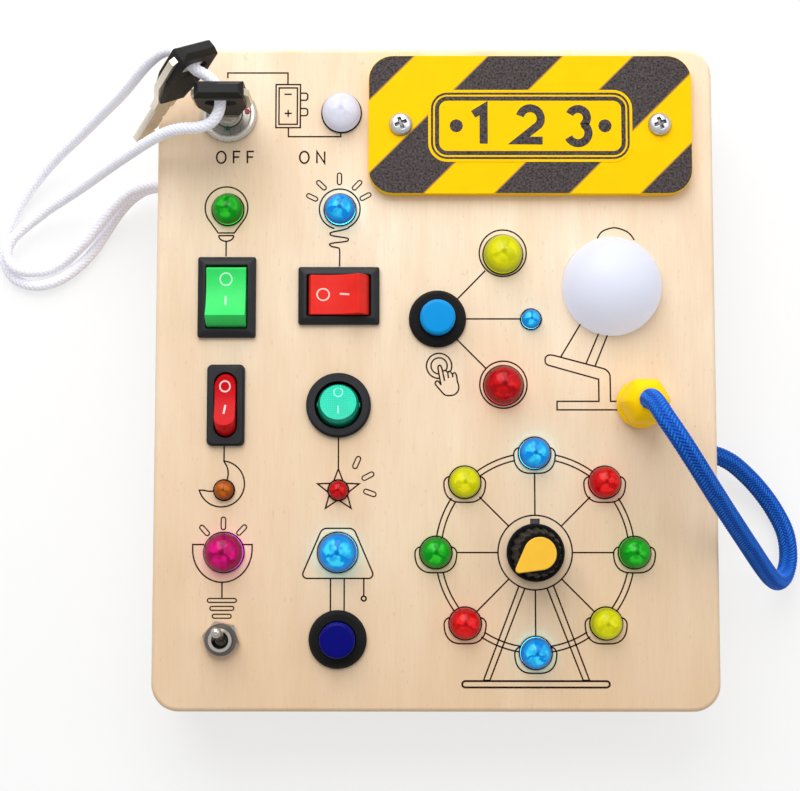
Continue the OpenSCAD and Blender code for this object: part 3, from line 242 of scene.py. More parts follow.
key_cord, key_line, key_length = braided_cord(
    "key_cord_braid", key_cord_route, key_cord_d, threads=12, pitch=1.15, step=0.3, around=36)
# The cotton also gives a faint white glow: painted light that keeps its shaded side bright.
key_cord.data.materials.append(braid_finish(
    "white_cotton", srgb(250, 250, 255), srgb(218, 218, 230), srgb(246, 246, 252), 0.25,
    Emission_Color=srgb(240, 238, 255), Emission_Strength=0.13))
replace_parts(key_cord, "key_cord")
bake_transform(key_cord)

# ---- Blue plug cord: a braided polyester cord, 5 mm thick, moulded into the plug. It arches out of
# the plug, comes down beside the board and goes back into a hole in the rim's right side.
plug_cord_d = 5
plug_cord_route = np.array([
    (52.7, -7.6, 45), (52.7, -7.6, 48.5), (53.2, -9.2, 53), (54.8, -13, 57), (57.8, -18, 58.4),
    (61.6, -23.4, 56.4), (65.8, -28.8, 52), (70.4, -34.2, 46.2), (75.2, -39.6, 39.8),
    (80, -44.8, 33), (84.4, -49.2, 25.8), (88.4, -52.4, 18.4), (92, -53.6, 11.2),
    (95.2, -51.8, 5.6), (96.8, -47.2, 3), (96.2, -41, 2.6), (93.4, -35, 2.8),
    (89.4, -29.6, 4.2), (84.6, -25, 6.8), (79.4, -21.4, 10), (73.6, -19.6, 12),
    (65.5, -19.6, 12)])
plug_cord, plug_line, plug_length = braided_cord(
    "plug_cord_braid", plug_cord_route, plug_cord_d, threads=24, pitch=0.95, step=0.24, around=72,
    lift=0.2)
plug_cord.data.materials.append(braid_finish(
    "blue_polyester", srgb(20, 128, 248), srgb(0, 24, 92), srgb(10, 100, 222), 0.3))
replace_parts(plug_cord, "plug_cord")
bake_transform(plug_cord)

# ---- Table, light and air: a plain white table top under the board, one wide soft lamp beyond the
# sign plate, a second one to the right, and a pale room all round. Seen from the camera, the top
# gives half of its own white and half of the light that falls on it, so that it keeps a shadow.
table_w = 3.0
table = bpy.data.objects.new("table", bpy.data.meshes.new("table"))
table.data.from_pydata([(x * table_w / 2, y * table_w / 2, -0.0001) for x, y in
                        ((-1, -1), (1, -1), (1, 1), (-1, 1))], [], [(0, 1, 2, 3)])
bpy.context.scene.collection.objects.link(table)
white_top, n, link, shader = new_finish("white_top", (0.93, 0.94, 0.935, 1), 0.9)
link(mixed(white_top, grain(white_top, 60, detail=2), (0.92, 0.93, 0.925, 1), (0.95, 0.955, 0.95, 1)),
     shader.inputs["Base Color"])
white = n.new("ShaderNodeEmission")
path = n.new("ShaderNodeLightPath")
own = n.new("ShaderNodeMixShader")
link(between(white_top, path.outputs["Is Camera Ray"], 0, 1, 0, 0.68), own.inputs[0])
link(shader.outputs[0], own.inputs[1])
link(white.outputs[0], own.inputs[2])
link(own.outputs[0], n["Material Output"].inputs["Surface"])
table.data.materials.append(white_top)


def soft_lamp(name, place, aim, width, watts):
    """A square lamp of even light that faces the aim, with its light spread over its width."""
    lamp = bpy.data.lights.new(name, "AREA")
    lamp.size = width
    lamp.energy = watts
    holder = bpy.data.objects.new(name, lamp)
    holder.location = place
    holder.rotation_euler = (Vector(aim) - Vector(place)).to_track_quat("-Z", "Y").to_euler()
    bpy.context.scene.collection.objects.link(holder)


soft_lamp("far_lamp", (-0.1, 0.42, 0.42), (0, 0, 0.02), 0.6, 3.9)
soft_lamp("side_lamp", (0.55, 0.2, 0.6), (0, 0, 0.02), 0.6, 1.1)
bpy.context.scene.view_settings.view_transform = "Standard"
air = bpy.data.worlds.new("air")
air.use_nodes = True
air.node_tree.nodes["Background"].inputs["Color"].default_value = (1, 1, 1, 1)
air.node_tree.nodes["Background"].inputs["Strength"].default_value = 0.43
bpy.context.scene.world = air

# ---- Wooden box: a 5 mm birch plywood face and a 3 mm plywood back on a glued rim of beech bars,
# 7 mm thick. The face is sanded and printed, with its grain upright and its front edge rounded.
face_z = 30
board_w = 145
board_h = 172


def sawn_wood(name, pale, deep, along, streak, ply=None):
    """Wood whose fibres run along one axis. It is darker towards the low end of the sheet in y, as painted shade, and
    it deepens also in broad figures, with bands, fine fibres and short dark pores. On a plywood the layers show on its
    edges, as bands across its thickness."""
    finish, n, link, shader = new_finish(name, pale, 0.55, Specular_IOR_Level=0.3)
    long = [1, 1, 1]
    long[along] = 18
    fine = grain(finish, 0.45, long, 5)
    figure = grain(finish, 22, [1 + k * 0.1 for k in long], 4)
    broad = grain(finish, 5, [1 + k * 0.35 for k in long], 2)
    pores = grain(finish, 0.4, [1 + k * 0.2 for k in long], 1)
    place = n.new("ShaderNodeTexCoord")
    split = n.new("ShaderNodeSeparateXYZ")
    link(place.outputs["Object"], split.inputs[0])
    # Painted shade: the tone deepens towards the bottom of the sheet, from y = 0.03 m down to -0.09 m.
    tone = mixed(finish, between(finish, split.outputs["Y"], -0.09, 0.03, 0.75, 0), pale, deep)
    tone = mixed(finish, between(finish, figure, 0.35, 0.65, 0, 0.6), tone, deep)
    tone = mixed(finish, between(finish, broad, 0.35, 0.7, 0, 0.22), tone, streak)
    tone = mixed(finish, between(finish, fine, 0.4, 0.75, 0, 0.16), tone, streak)
    tone = mixed(finish, between(finish, pores, 0.7, 0.76, 0, 0.4), tone, streak)
    if ply:
        facing = n.new("ShaderNodeNewGeometry")
        level = n.new("ShaderNodeSeparateXYZ")
        link(facing.outputs["Normal"], level.inputs[0])
        layer = n.new("ShaderNodeMath")
        layer.operation = "PINGPONG"
        layer.inputs[1].default_value = ply / 1000
        link(split.outputs["Z"], layer.inputs[0])
        upright = n.new("ShaderNodeMath")
        upright.operation = "ABSOLUTE"
        link(level.outputs["Z"], upright.inputs[0])
        edge = mixed(finish, between(finish, layer.outputs[0], ply * 0.00044, ply * 0.00056, 0, 1), pale, streak)
        tone = mixed(finish, between(finish, upright.outputs[0], 0.3, 0.7, 1, 0), tone, edge)
    link(tone, shader.inputs["Base Color"])
    link(between(finish, fine, 0.3, 0.7, 0.42, 0.6), shader.inputs["Roughness"])
    raised(finish, fine, 0.04)
    return finish


def dress(node, finish):
    """Gives a CAD node the finish in place of its plain colour."""
    nodes[node].data.materials.clear()
    nodes[node].data.materials.append(finish)


birch_face = sawn_wood("birch_face", srgb(247, 228, 202), srgb(231, 198, 160), 1, srgb(214, 176, 136), ply=1.25)
beech_up = sawn_wood("beech_up", srgb(240, 213, 178), srgb(228, 196, 156), 1, srgb(205, 168, 126))
beech_across = sawn_wood("beech_across", srgb(240, 213, 178), srgb(228, 196, 156), 0, srgb(205, 168, 126))
birch_back = sawn_wood("birch_back", srgb(240, 216, 184), srgb(229, 200, 164), 1, srgb(206, 172, 132), ply=1)
dress("front_panel", birch_face)
dress("back_panel", birch_back)
for bar in ("rim_left", "rim_right"):
    dress(bar, beech_up)
for bar in ("rim_top", "rim_bottom"):
    dress(bar, beech_across)

# ---- Printed drawings: dark brown ink, screen printed straight on the sanded face, in lines four
# tenths of a millimetre wide. Each drawing stands round the lamp or switch that it belongs to.
ink_w = 0.38
thin_w = 0.32
status_at = np.array([-24.5, 68.7])
green_light_at = np.array([-54, 43.1])
blue_light_at = np.array([-24.8, 43.1])
amber_at = np.array([-54.3, -29.8])
star_at = np.array([-25, -29.8])
magenta_at = np.array([-54.2, -45.7])
lamp_light_at = np.array([-25.1, -45.7])
yellow_at = np.array([17.5, 31.3])
red_at = np.array([17.5, -2.8])
small_blue_at = np.array([24.7, 14.4])
dome_at = np.array([45.7, 23])
wheel_at = np.array([25.4, -45.7])
wheel_r = 25.4
light_button_at = np.array([0.5, 14.4])
ink_finish, n, link, shader = new_finish("brown_ink", srgb(28, 14, 6), 0.95, Specular_IOR_Level=0.02)
link(mixed(ink_finish, between(ink_finish, grain(ink_finish, 0.35, detail=3), 0.35, 0.7, 0, 1),
           srgb(38, 25, 20), srgb(62, 44, 34)), shader.inputs["Base Color"])


def arc(centre, radius, start, end, count=48):
    """Points at equal angles, in degrees, on a circle about the centre. The radius may be a pair."""
    a = np.radians(np.linspace(start, end, count))
    return np.asarray(centre) + np.column_stack([np.cos(a), np.sin(a)]) * radius


def inked(points, width=ink_w, closed=False):
    """A line of even width with mitred corners: each point goes to both sides along the mean of
    its two edges' normals, by half the width over the cosine of half the turn."""
    p = np.asarray(points, float)
    edge = (np.roll(p, -1, 0) if closed else np.vstack([p[1:], 2 * p[-1] - p[-2]])) - p
    edge /= np.linalg.norm(edge, axis=1)[:, None]
    before = np.roll(edge, 1, 0) if closed else np.vstack([edge[:1], edge[:-1]])
    normal = np.column_stack([-(edge + before)[:, 1], (edge + before)[:, 0]])
    normal /= np.linalg.norm(normal, axis=1)[:, None]
    lean = np.clip(np.abs(normal[:, 0] * -edge[:, 1] + normal[:, 1] * edge[:, 0]), 0.35, 1)
    out = normal * (width / 2 / lean)[:, None]
    return p + out, p - out, closed


def pill(centre, length, width, turn):
    """The outline of a round-ended dash, turned by so many degrees."""
    ends = np.vstack([arc((length / 2 - width / 2, 0), width / 2, -90, 90, 8),
                      arc((width / 2 - length / 2, 0), width / 2, 90, 270, 8)])
    c, s = math.cos(math.radians(turn)), math.sin(math.radians(turn))
    return np.asarray(centre) + ends @ np.array([[c, s], [-s, c]])


def printed(name, lines, body="board", high=face_z, low=face_z - 0.06, finish=ink_finish):
    """One print of several lines, each a closed flat strip that stands 0.03 mm proud."""
    points, faces = [], []
    for left, right, closed in lines:
        k, start = len(left), len(points)
        for z in (high + 0.03, low):
            points += [(x, y, z) for x, y in left] + [(x, y, z) for x, y in right]
        for i in range(k if closed else k - 1):
            j = (i + 1) % k
            a, b, c, d = start + i, start + j, start + k + i, start + k + j
            u, v, w, t = a + 2 * k, b + 2 * k, c + 2 * k, d + 2 * k
            faces += [(a, c, d, b), (u, v, t, w), (a, b, v, u), (c, w, t, d)]
        if not closed:
            a, c, b, d = start, start + k, start + k - 1, start + 2 * k - 1
            faces += [(a, a + 2 * k, c + 2 * k, c), (b, d, d + 2 * k, b + 2 * k)]
    piece = new_piece(name, points, faces, smooth=False)
    piece.data.materials.append(finish)
    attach(piece, body)
    return piece


# The wire and battery beside the lock: the mains sign of the board.
wire = [inked([(-54.4, 78.1), (-54.4, 79.5), (-38.6, 79.5), (-38.6, 76.5)]),
        inked([(-38.4, 65.0), (-38.4, 62.5), (-24.7, 62.5), (-24.7, 64.1)])]
battery = [inked([(-41.7, 64.9), (-35.3, 64.9), (-35.3, 76.4), (-41.7, 76.4)], ink_w, True),
           inked([(-40.9, 65.8), (-36.1, 65.8), (-36.1, 75.5), (-40.9, 75.5)], ink_w, True),
           inked([(-39.5, 73.8), (-37.6, 73.8)]), inked([(-39.45, 68.7), (-37.55, 68.7)]),
           inked([(-38.5, 67.75), (-38.5, 69.65)])]
battery += [inked([(-35.4, y + 0.9), (-33.8, y + 0.9), (-33.4, y + 0.5), (-33.4, y - 0.6),
                   (-33.8, y - 1.0), (-35.4, y - 1.0)], ink_w) for y in (73.2, 69.1)]
printed("lock_wire", wire + battery)

# The two bulbs over the large switches, one with a screw base and one with rays and a coil.
bulb = np.vstack([arc((-54.4, 43.6), 5.55, -35, 215, 64), [(-56.5, 37.0), (-52.3, 37.0)]])
green_bulb = [inked(bulb, ink_w, True), inked([(-56.4, 36.3), (-52.4, 36.3)]),
              inked(arc((-54.4, 36.3), (1.95, 1.5), 180, 360, 20)), inked([(-54.4, 34.8), (-54.4, 30.8)])]
printed("green_bulb", green_bulb)
coil = np.array([(-22.4, 38.6), (-22.9, 38.2), (-24.6, 37.7), (-26.6, 37.3), (-27.4, 36.9), (-26.8, 36.3),
                 (-23.2, 35.7), (-22.6, 35.3), (-23.2, 34.8), (-26.9, 34.3), (-27.5, 33.9),
                 (-26.8, 33.4), (-25.4, 33.1), (-24.9, 32.5), (-24.9, 28.2)])
coil_line, run = cord_line(np.column_stack([coil, coil[:, 0] * 0]), 0.35)
blue_lamp = [inked(arc(blue_light_at + (-0.1, 0.2), 5.3, -64, 255, 64)), inked(coil_line[:, :2])]
blue_lamp += [inked(pill(blue_light_at + at, 3.1, 1.1, turn), thin_w, True) for at, turn in
              (((6.6, 3.5), 28), ((4.4, 6.5), 46), ((-0.2, 8.2), 90), ((-4.9, 6.5), 136), ((-7.3, 3.3), 154))]
printed("blue_lamp", blue_lamp)

# The moon, the star with its rays, the bowl lamp and the table lamp of the lower rows.
moon = np.vstack([arc((-55.0, -28.2), 5.9, 84, -164, 60), arc((-57.9, -25.5), 4.6, -110, 38, 40)])
printed("moon", [inked(moon, ink_w, True), inked([(-54.4, -18.2), (-54.4, -22.4)])])
tips = arc((-25, -29.9), 5.6, 90, 378, 5)
dents = arc((-25, -29.9), 2.35, 126, 414, 5)
star = np.stack([tips, dents], 1).reshape(-1, 2)
printed("star", [inked(star, ink_w, True), inked([(-25, -16.3), (-25, -24.4)])]
        + [inked(pill(at, 3.3, 1.2, turn), thin_w, True) for at, turn in
           (((-20.3, -22.7), 66), ((-17.4, -26.2), 28), ((-16.9, -30.5), -20))])
bowl_lamp = [inked(np.vstack([[(-49.5, -43.7), (-47.0, -43.7)], arc((-54.6, -44.9), (7.6, 8.4), -2, -178, 60),
                              [(-62.2, -43.7), (-59.3, -43.7)]])),
             inked([(-54.6, -53.3), (-54.6, -57.2)])]
bowl_lamp += [inked(pill((-54.6, y), w, 1.0, 0), thin_w, True)
              for y, w in ((-57.9, 7.4), (-59.9, 6.1), (-61.9, 4.8))]
bowl_lamp += [inked(pill(at, 3.2, 1.15, turn), thin_w, True) for at, turn in
              (((-54.4, -38.3), 90), ((-59.2, -40.1), 132), ((-49.7, -40.0), 47))]
printed("bowl_lamp", bowl_lamp)
shade = np.vstack([arc((-22.2, -41.35), 1.8, 90, 23.4, 8), arc((-17.2, -51.2), 1.1, 23.4, -90, 10),
                   arc((-32.9, -51.2), 1.1, -90, -203.4, 10), arc((-27.9, -41.35), 1.8, 156.6, 90, 8)])
table_lamp = [inked(shade, ink_w, True), inked([(-26.9, -52.3), (-26.9, -60.7)]),
              inked([(-23.4, -52.3), (-23.4, -60.7)]), inked([(-18.4, -52.3), (-18.4, -56.7)]),
              inked(arc((-18.4, -57.4), 0.6, 0, 345, 24), 0.45, True)]
printed("table_lamp", table_lamp)

# The branch from the light blue button to its three lights, and the hand that presses it.
branch = [inked([light_button_at + (5.07, 5.17), yellow_at + (-4.57, -4.2)]),
          inked([light_button_at + (7, 0.1), small_blue_at + (-2.6, 0.1)]),
          inked([light_button_at + (5.07, -5.3), red_at + (-4.55, 4.47)]),
          inked(arc(yellow_at + (0, 0.4), 6.1, 0, 354, 72), ink_w, True),
          inked(arc(red_at + (0, 0.2), 6.1, 0, 354, 72), ink_w, True)]
printed("branch", branch)


def flowing(*points):
    """A smooth curve on the face through the points."""
    p = np.array(points, float)
    return cord_line(np.column_stack([p, np.zeros(len(p))]), 0.15)[0][:, :2]


finger = flowing((1.4, -2.68), (1.24, -1.79), (1.04, -0.8), (0.84, 0.4), (0.66, 1.39), (0.64, 1.99), (0.8, 2.3),
                 (1.06, 2.42), (1.32, 2.3), (1.54, 1.89), (1.76, 1.09), (1.95, 0.2), (2.15, -0.8), (2.35, -1.63))
palm = flowing((1.4, -2.68), (1.2, -2.35), (0.92, -1.91), (0.48, -1.65), (0.05, -1.83), (-0.11, -2.23),
               (0.05, -2.66), (0.64, -3.38), (1.34, -4.18), (2.03, -4.97), (2.47, -5.29), (3.03, -5.41),
               (3.72, -5.41), (4.52, -5.29), (5.21, -4.93), (5.73, -4.33), (5.99, -3.58), (5.93, -2.78),
               (5.69, -1.99), (5.57, -1.29), (5.51, -0.7), (5.37, -0.1), (5.14, 0.36), (4.82, 0.52),
               (4.54, 0.32), (4.4, -0.1), (4.42, -0.7))
ring_finger = flowing((4.4, -0.1), (4.22, 0.24), (3.98, 0.6), (3.62, 0.85), (3.35, 0.79), (3.19, 0.48),
                      (3.23, -0.2), (3.33, -0.9))
long_finger = flowing((3.19, 0.48), (3.03, 0.69), (2.79, 0.91), (2.47, 1.07), (2.19, 1.05), (1.92, 0.95))
touch = [inked(line) for line in (finger, palm, ring_finger, long_finger)]
touch += [inked(arc((0.92, 2.27), 3.26, -24, 270, 48)), inked(arc((0.92, 2.27), 2.09, -31, 264, 40))]
printed("pressing_hand", touch)

# The desk lamp that carries the white dome, and the wheel with its legs round the knob.
desk = [inked(flowing((42.1, 35.6), (42.7, 36.7), (43.9, 37.7), (46.6, 38.4), (49.4, 37.6), (50.8, 36.5), (51.7, 35.2))),
        inked([(37.9, 13.8), (32.3, 4.5)]),
        inked(np.vstack([[(30.6, 5.0), (43.3, 1.6)], flowing((43.9, 1.35), (44.6, 0.7), (45.0, -0.1), (45.06, -0.9)),
                         [(45.1, -6.9), (48.2, -6.9)]])),
        inked(np.vstack([flowing((30.6, 5.0), (29.4, 5.1), (28.5, 4.6), (28.3, 3.7), (28.5, 2.9), (29.3, 2.4)),
                         [(42.1, -1.2), (42.1, -6.9), (31.3, -6.9), (31.3, -9.1), (47.4, -9.1)]])),
        inked([(42.4, 11.2), (38.85, 2.8)]), inked([(44.6, 10.6), (41.15, 2.1)])]
printed("desk_lamp", desk)
wheel = [inked(arc(wheel_at, 9.5, 0, 357, 120), ink_w, True)]
cabin_side = np.array([(-3.7, 1.5), (-4.6, 1.2), (-5.25, thin_w), (-5.3, -1.0), (-4.9, -2.8), (-3.9, -4.2),
                       (-2.3, -5.0), (0, -5.15), (0, -5.15)])
cabin_side = np.vstack([cabin_side[:-2], [(0, -5.15)], (cabin_side[:-2] * (-1, 1))[::-1]])
cabin_line, run = cord_line(np.column_stack([cabin_side, cabin_side[:, 0] * 0]), 0.25)
for k in range(8):
    a = math.radians(45 * k)
    ahead = np.array([math.sin(a), math.cos(a)])
    wheel.append(inked([wheel_at + 9.5 * ahead, wheel_at + (wheel_r - (4.2 if 2 < k < 6 else 5.3)) * ahead]))
    cabin = wheel_at + wheel_r * ahead
    start, end = (12, 35.5) if k < 4 else (9.5, 33)
    for r in (25.5, 24.05):
        wheel.append(inked(arc(wheel_at, r, 90 - 45 * k - start, 90 - 45 * k - end, 20)))
    wheel.append(inked(cabin + cabin_line[:, :2], ink_w))
wheel += [inked([(21.2, -54.2), (12.1, -78.0), (13.7, -78.0), (22.7, -54.8)], ink_w),
          inked([(28.4, -54.8), (37.4, -78.0), (39.0, -78.0), (30.0, -54.0)], ink_w),
          inked(pill((25.4, -79.0), 37.5, 1.6, 0), 0.5, True)]
printed("wheel", wheel)

# ---- Sign plate: a 3 mm two-colour acrylic plate, laser cut, yellow with black stripes at 45
# degrees, on the face under two pan-head cross screws. Its framed box holds plain numbers.
sign_at = np.array([24.6, 65.0])
sign_w = 84
sign_h = 36.5
sign_r = 6.4
sign_z = 33
stripe_w = 18.9


def softened(node, finish, width, body="board", sharp=32, steps=3, shaped=None):
    """A copy of a CAD node with its loose triangles joined, its flat faces made whole and its
    edges rounded by the given width in millimetres. It stands in for the node. A shaping, where
    one is given, takes the copy's points in millimetres and gives their new places."""
    source = nodes[node].data
    mesh = bpy.data.meshes.new(node + "_rounded")
    work = bmesh.new()
    work.from_mesh(source)
    bmesh.ops.remove_doubles(work, verts=work.verts, dist=2e-6)
    bmesh.ops.dissolve_limit(work, angle_limit=0.004, verts=work.verts, edges=work.edges)
    bmesh.ops.recalc_face_normals(work, faces=work.faces)
    work.to_mesh(mesh)
    work.free()
    if shaped:
        spots = np.empty(len(mesh.vertices) * 3, np.float32)
        mesh.vertices.foreach_get("co", spots)
        mesh.vertices.foreach_set("co", (shaped(spots.reshape(-1, 3) * 1000.0) / 1000).astype(np.float32).ravel())
    mesh.polygons.foreach_set("use_smooth", np.ones(len(mesh.polygons), bool))
    mesh.set_sharp_from_angle(angle=math.radians(sharp))
    piece = bpy.data.objects.new(node + "_rounded", mesh)
    bpy.context.scene.collection.objects.link(piece)
    if width:
        edge = piece.modifiers.new("edge", "BEVEL")
        edge.width = width / 1000
        edge.segments = steps
        edge.limit_method = "ANGLE"
        edge.angle_limit = math.radians(sharp)
        edge.use_clamp_overlap = True
        edge.harden_normals = True
    mesh.materials.clear()
    mesh.materials.append(finish)
    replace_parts(piece, node)
    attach(piece, body)
    return piece


def moulded(name, colour, roughness=0.4, mottle=0.12, texture=0.02, size=0.6, **plain):
    """Moulded plastic: a faint mottle, a satin skin that varies a little, and a fine texture."""
    finish, n, link, shader = new_finish(name, colour, roughness, **plain)
    cloud = grain(finish, 6, detail=3)
    skin = grain(finish, size, detail=2)
    deeper = tuple(c * (1 - mottle) for c in colour[:3]) + (1,)
    link(mixed(finish, between(finish, cloud, 0.35, 0.65, 0, 1), colour, deeper), shader.inputs["Base Color"])
    link(between(finish, skin, 0.3, 0.7, roughness * 0.85, min(1, roughness * 1.15)), shader.inputs["Roughness"])
    if texture:
        raised(finish, skin, texture)
    return finish


def inside(outline, normal, limit):
    """The part of a convex outline where the point times the normal is under the limit."""
    kept, p = [], np.asarray(outline, float)
    reach = p @ np.asarray(normal) - limit
    for a, b, u, v in zip(p, np.roll(p, -1, 0), reach, np.roll(reach, -1)):
        if u <= 0:
            kept.append(a)
        if u * v < 0:
            kept.append(a + (b - a) * u / (u - v))
    return np.array(kept)


def rounded_box(centre, w, h, r, steps=10):
    """The outline of a rectangle with round corners, from the lower right corner round."""
    return np.vstack([arc((centre[0] + sx * (w / 2 - r), centre[1] + sy * (h / 2 - r)), r, a, a + 90, steps)
                      for sx, sy, a in ((1, -1, -90), (1, 1, 0), (-1, 1, 90), (-1, -1, 180))])


def flat_shapes(name, outlines, low, high, finish, body="board"):
    """Thin level shapes cut from a sheet: an outline for each, with a bottom, a top and sides."""
    points, faces = [], []
    for outline in outlines:
        k, start = len(outline), len(points)
        points += [(x, y, z) for z in (low, high) for x, y in outline]
        faces += [tuple(start + i for i in reversed(range(k))), tuple(start + k + i for i in range(k))]
        faces += [(start + i, start + (i + 1) % k, start + k + (i + 1) % k, start + k + i) for i in range(k)]
    piece = new_piece(name, points, faces, smooth=False)
    piece.data.materials.append(finish)
    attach(piece, body)
    return piece


sign_yellow = moulded("sign_yellow", srgb(253, 200, 0), 0.45, 0.04, Specular_IOR_Level=0.05)
sign_black, n, link, shader = new_finish("sign_black", srgb(58, 50, 50), 0.7, Specular_IOR_Level=0.2)
pebble = grain(sign_black, 0.55, detail=4)
link(mixed(sign_black, between(sign_black, pebble, 0.35, 0.65, 0, 1), srgb(42, 35, 36), srgb(88, 79, 78)),
     shader.inputs["Base Color"])
raised(sign_black, pebble, 0.08)
sign_gold = moulded("sign_gold", srgb(176, 128, 20), 0.5)
softened("sign_plate", sign_yellow, 0.15)
border = rounded_box(sign_at, sign_w - 0.3, sign_h - 0.3, sign_r - 0.15)
slant = np.array([1, -1]) / math.sqrt(2)
stripes, edges = [], []
for top_x in (-24.6, 14.1, 51.9, 89.8):
    low_side = (top_x - (sign_at[1] + sign_h / 2)) / math.sqrt(2)
    for grow, kept in ((0, stripes), (0.35, edges)):
        kept.append(inside(inside(border, slant, low_side + stripe_w / math.sqrt(2) + grow), -slant, grow - low_side))
flat_shapes("stripe_edges", edges, sign_z - 0.1, sign_z + 0.03, sign_gold)
flat_shapes("sign_stripes", stripes, sign_z - 0.1, sign_z + 0.07, sign_black)
number_box = sign_at + (0.0, -0.4)
flat_shapes("number_box", [rounded_box(number_box, 53.0, 19.0, 5.0)], sign_z - 0.1, sign_z + 0.12,
            sign_yellow)
frame_lines = [inked(rounded_box(number_box, 51.0, 17.0, 4.0), 0.55, True),
               inked(rounded_box(number_box, 48.4, 14.4, 2.7), 1.1, True)]
one = [np.array([(-2.4, 3.0), (0.3, 4.7), (0.3, -4.7)])]
two = [np.vstack([arc((0, 1.9), 2.75, 165, -38, 20), [(-3.0, -3.9), (3.2, -3.9)]])]
three = [np.vstack([arc((-0.2, 2.1), 2.35, 155, -44, 20), arc((-0.2, -1.9), 2.7, 48, -155, 22)])]
for x, strokes in ((-12.4, one), (0, two), (12.6, three)):
    frame_lines += [inked(number_box + (x, 0) + stroke, 2.1) for stroke in strokes]
for x in (-19.2, 19.4):
    frame_lines.append(inked(number_box + (x, 0) + arc((0, 0), 0.9, 0, 330, 12), 1.6, True))
printed("sign_numbers", frame_lines, high=sign_z + 0.13, low=sign_z - 0.05, finish=sign_black)


def plated(name, colour, roughness=0.3, dark=0.55, lines=0.5, **plain):
    """Bright plated metal with a painted reflection: faces that look along the board take its colour times the given
    factor, most often a darker one, as the low dark part of a room would show in them, while those that look up keep
    it. Fine polishing lines break the shine."""
    finish, n, link, shader = new_finish(name, colour, roughness, Metallic=0.8, **plain)
    facing = n.new("ShaderNodeNewGeometry")
    split = n.new("ShaderNodeSeparateXYZ")
    link(facing.outputs["Normal"], split.inputs[0])
    deeper = tuple(c * dark for c in colour[:3]) + (1,)
    # Painted reflection: side faces take the colour times the factor, and upward faces keep it.
    tone = mixed(finish, between(finish, split.outputs["Z"], 0.25, 0.95, 1, 0), colour, deeper)
    scratch = grain(finish, lines, (1, 9, 1), 4)
    tone = mixed(finish, between(finish, scratch, 0.45, 0.75, 0, 0.12), tone, deeper)
    link(tone, shader.inputs["Base Color"])
    link(between(finish, scratch, 0.3, 0.7, roughness * 0.7, roughness * 1.4), shader.inputs["Roughness"])
    raised(finish, scratch, 0.004)
    return finish


def eased(profile, reach):
    """The profile with each inner corner rounded: it leaves the line a distance before the corner,
    follows (1-t)^2 a + 2 t (1-t) c + t^2 b, and joins the next line the same distance after."""
    p = np.asarray(profile, float)
    out = [p[0]]
    for before, corner, after in zip(p[:-2], p[1:-1], p[2:]):
        u, v = before - corner, after - corner
        a = corner + u * min(reach / np.linalg.norm(u), 0.45)
        b = corner + v * min(reach / np.linalg.norm(v), 0.45)
        out += [(1 - t)**2 * a + 2 * t * (1 - t) * corner + t**2 * b for t in np.linspace(0, 1, 4)]
    return np.array(out + [p[-1]])


def turned(name, places, profile, around=72, carved=None):
    """Solids of revolution: the profile's distances and heights, in millimetres over the face, are
    swept round each place. The first and last points lie on the axis and become single poles.
    A carving gives the depth to take off each height, from the point's place off the axis."""
    profile = np.asarray(profile, float)
    r, z = profile[1:-1, 0], profile[1:-1, 1] + face_z
    turn = np.linspace(0, 2 * np.pi, around, endpoint=False)
    points, faces = [], []
    for x, y in places:
        start, rows = len(points), len(r)
        u, v = r[:, None] * np.cos(turn), r[:, None] * np.sin(turn)
        w = np.broadcast_to(z[:, None], (rows, around))
        w = w if carved is None else w - carved(u, v, w)
        points += np.stack([x + u, y + v, w], -1).reshape(-1, 3).tolist()
        top = profile[-1, 1] + face_z
        top -= 0 if carved is None else float(carved(0.0, 0.0, top))
        points += [(x, y, profile[0, 1] + face_z), (x, y, top)]
        i, k = np.meshgrid(np.arange(rows - 1), np.arange(around), indexing="ij")
        n = (k + 1) % around
        quads = np.stack([i * around + k, i * around + n, (i + 1) * around + n, (i + 1) * around + k], -1)
        faces += (quads.reshape(-1, 4) + start).tolist()
        first, last, end = start + rows * around, start + rows * around + 1, start + (rows - 1) * around
        faces += [(first, start + (m + 1) % around, start + m) for m in range(around)]
        faces += [(last, end + m, end + (m + 1) % around) for m in range(around)]
    return new_piece(name, points, faces)


def cross_recess(u, v, height):
    """Depth of a cross recess at a point of a screw's head: the larger of its two slots, each
    1 mm wide and 3.4 mm long with sloped sides. The slots stand 20 degrees off the board's edges."""
    a = math.radians(20)
    along, over = np.abs(u * math.cos(a) + v * math.sin(a)), np.abs(v * math.cos(a) - u * math.sin(a))
    slots = [np.clip((0.5 - w) / 0.15, 0, 1) * np.clip((1.7 - l) / 0.5, 0, 1) for l, w in ((along, over), (over, along))]
    return np.maximum(*slots) * np.clip(height - sign_z - 0.5, 0, 1)


def shaded_by_depth(finish, depth, colour):
    """The finish with a colour mixed in where the points of its piece store the given depth."""
    n, link = finish.node_tree.nodes, finish.node_tree.links.new
    sunk = n.new("ShaderNodeAttribute")
    sunk.attribute_name = depth
    shader = n["Principled BSDF"]
    own = shader.inputs["Base Color"].links[0].from_socket
    link(mixed(finish, between(finish, sunk.outputs["Fac"], 0.1, 0.6, 0, 0.85), own, colour), shader.inputs["Base Color"])


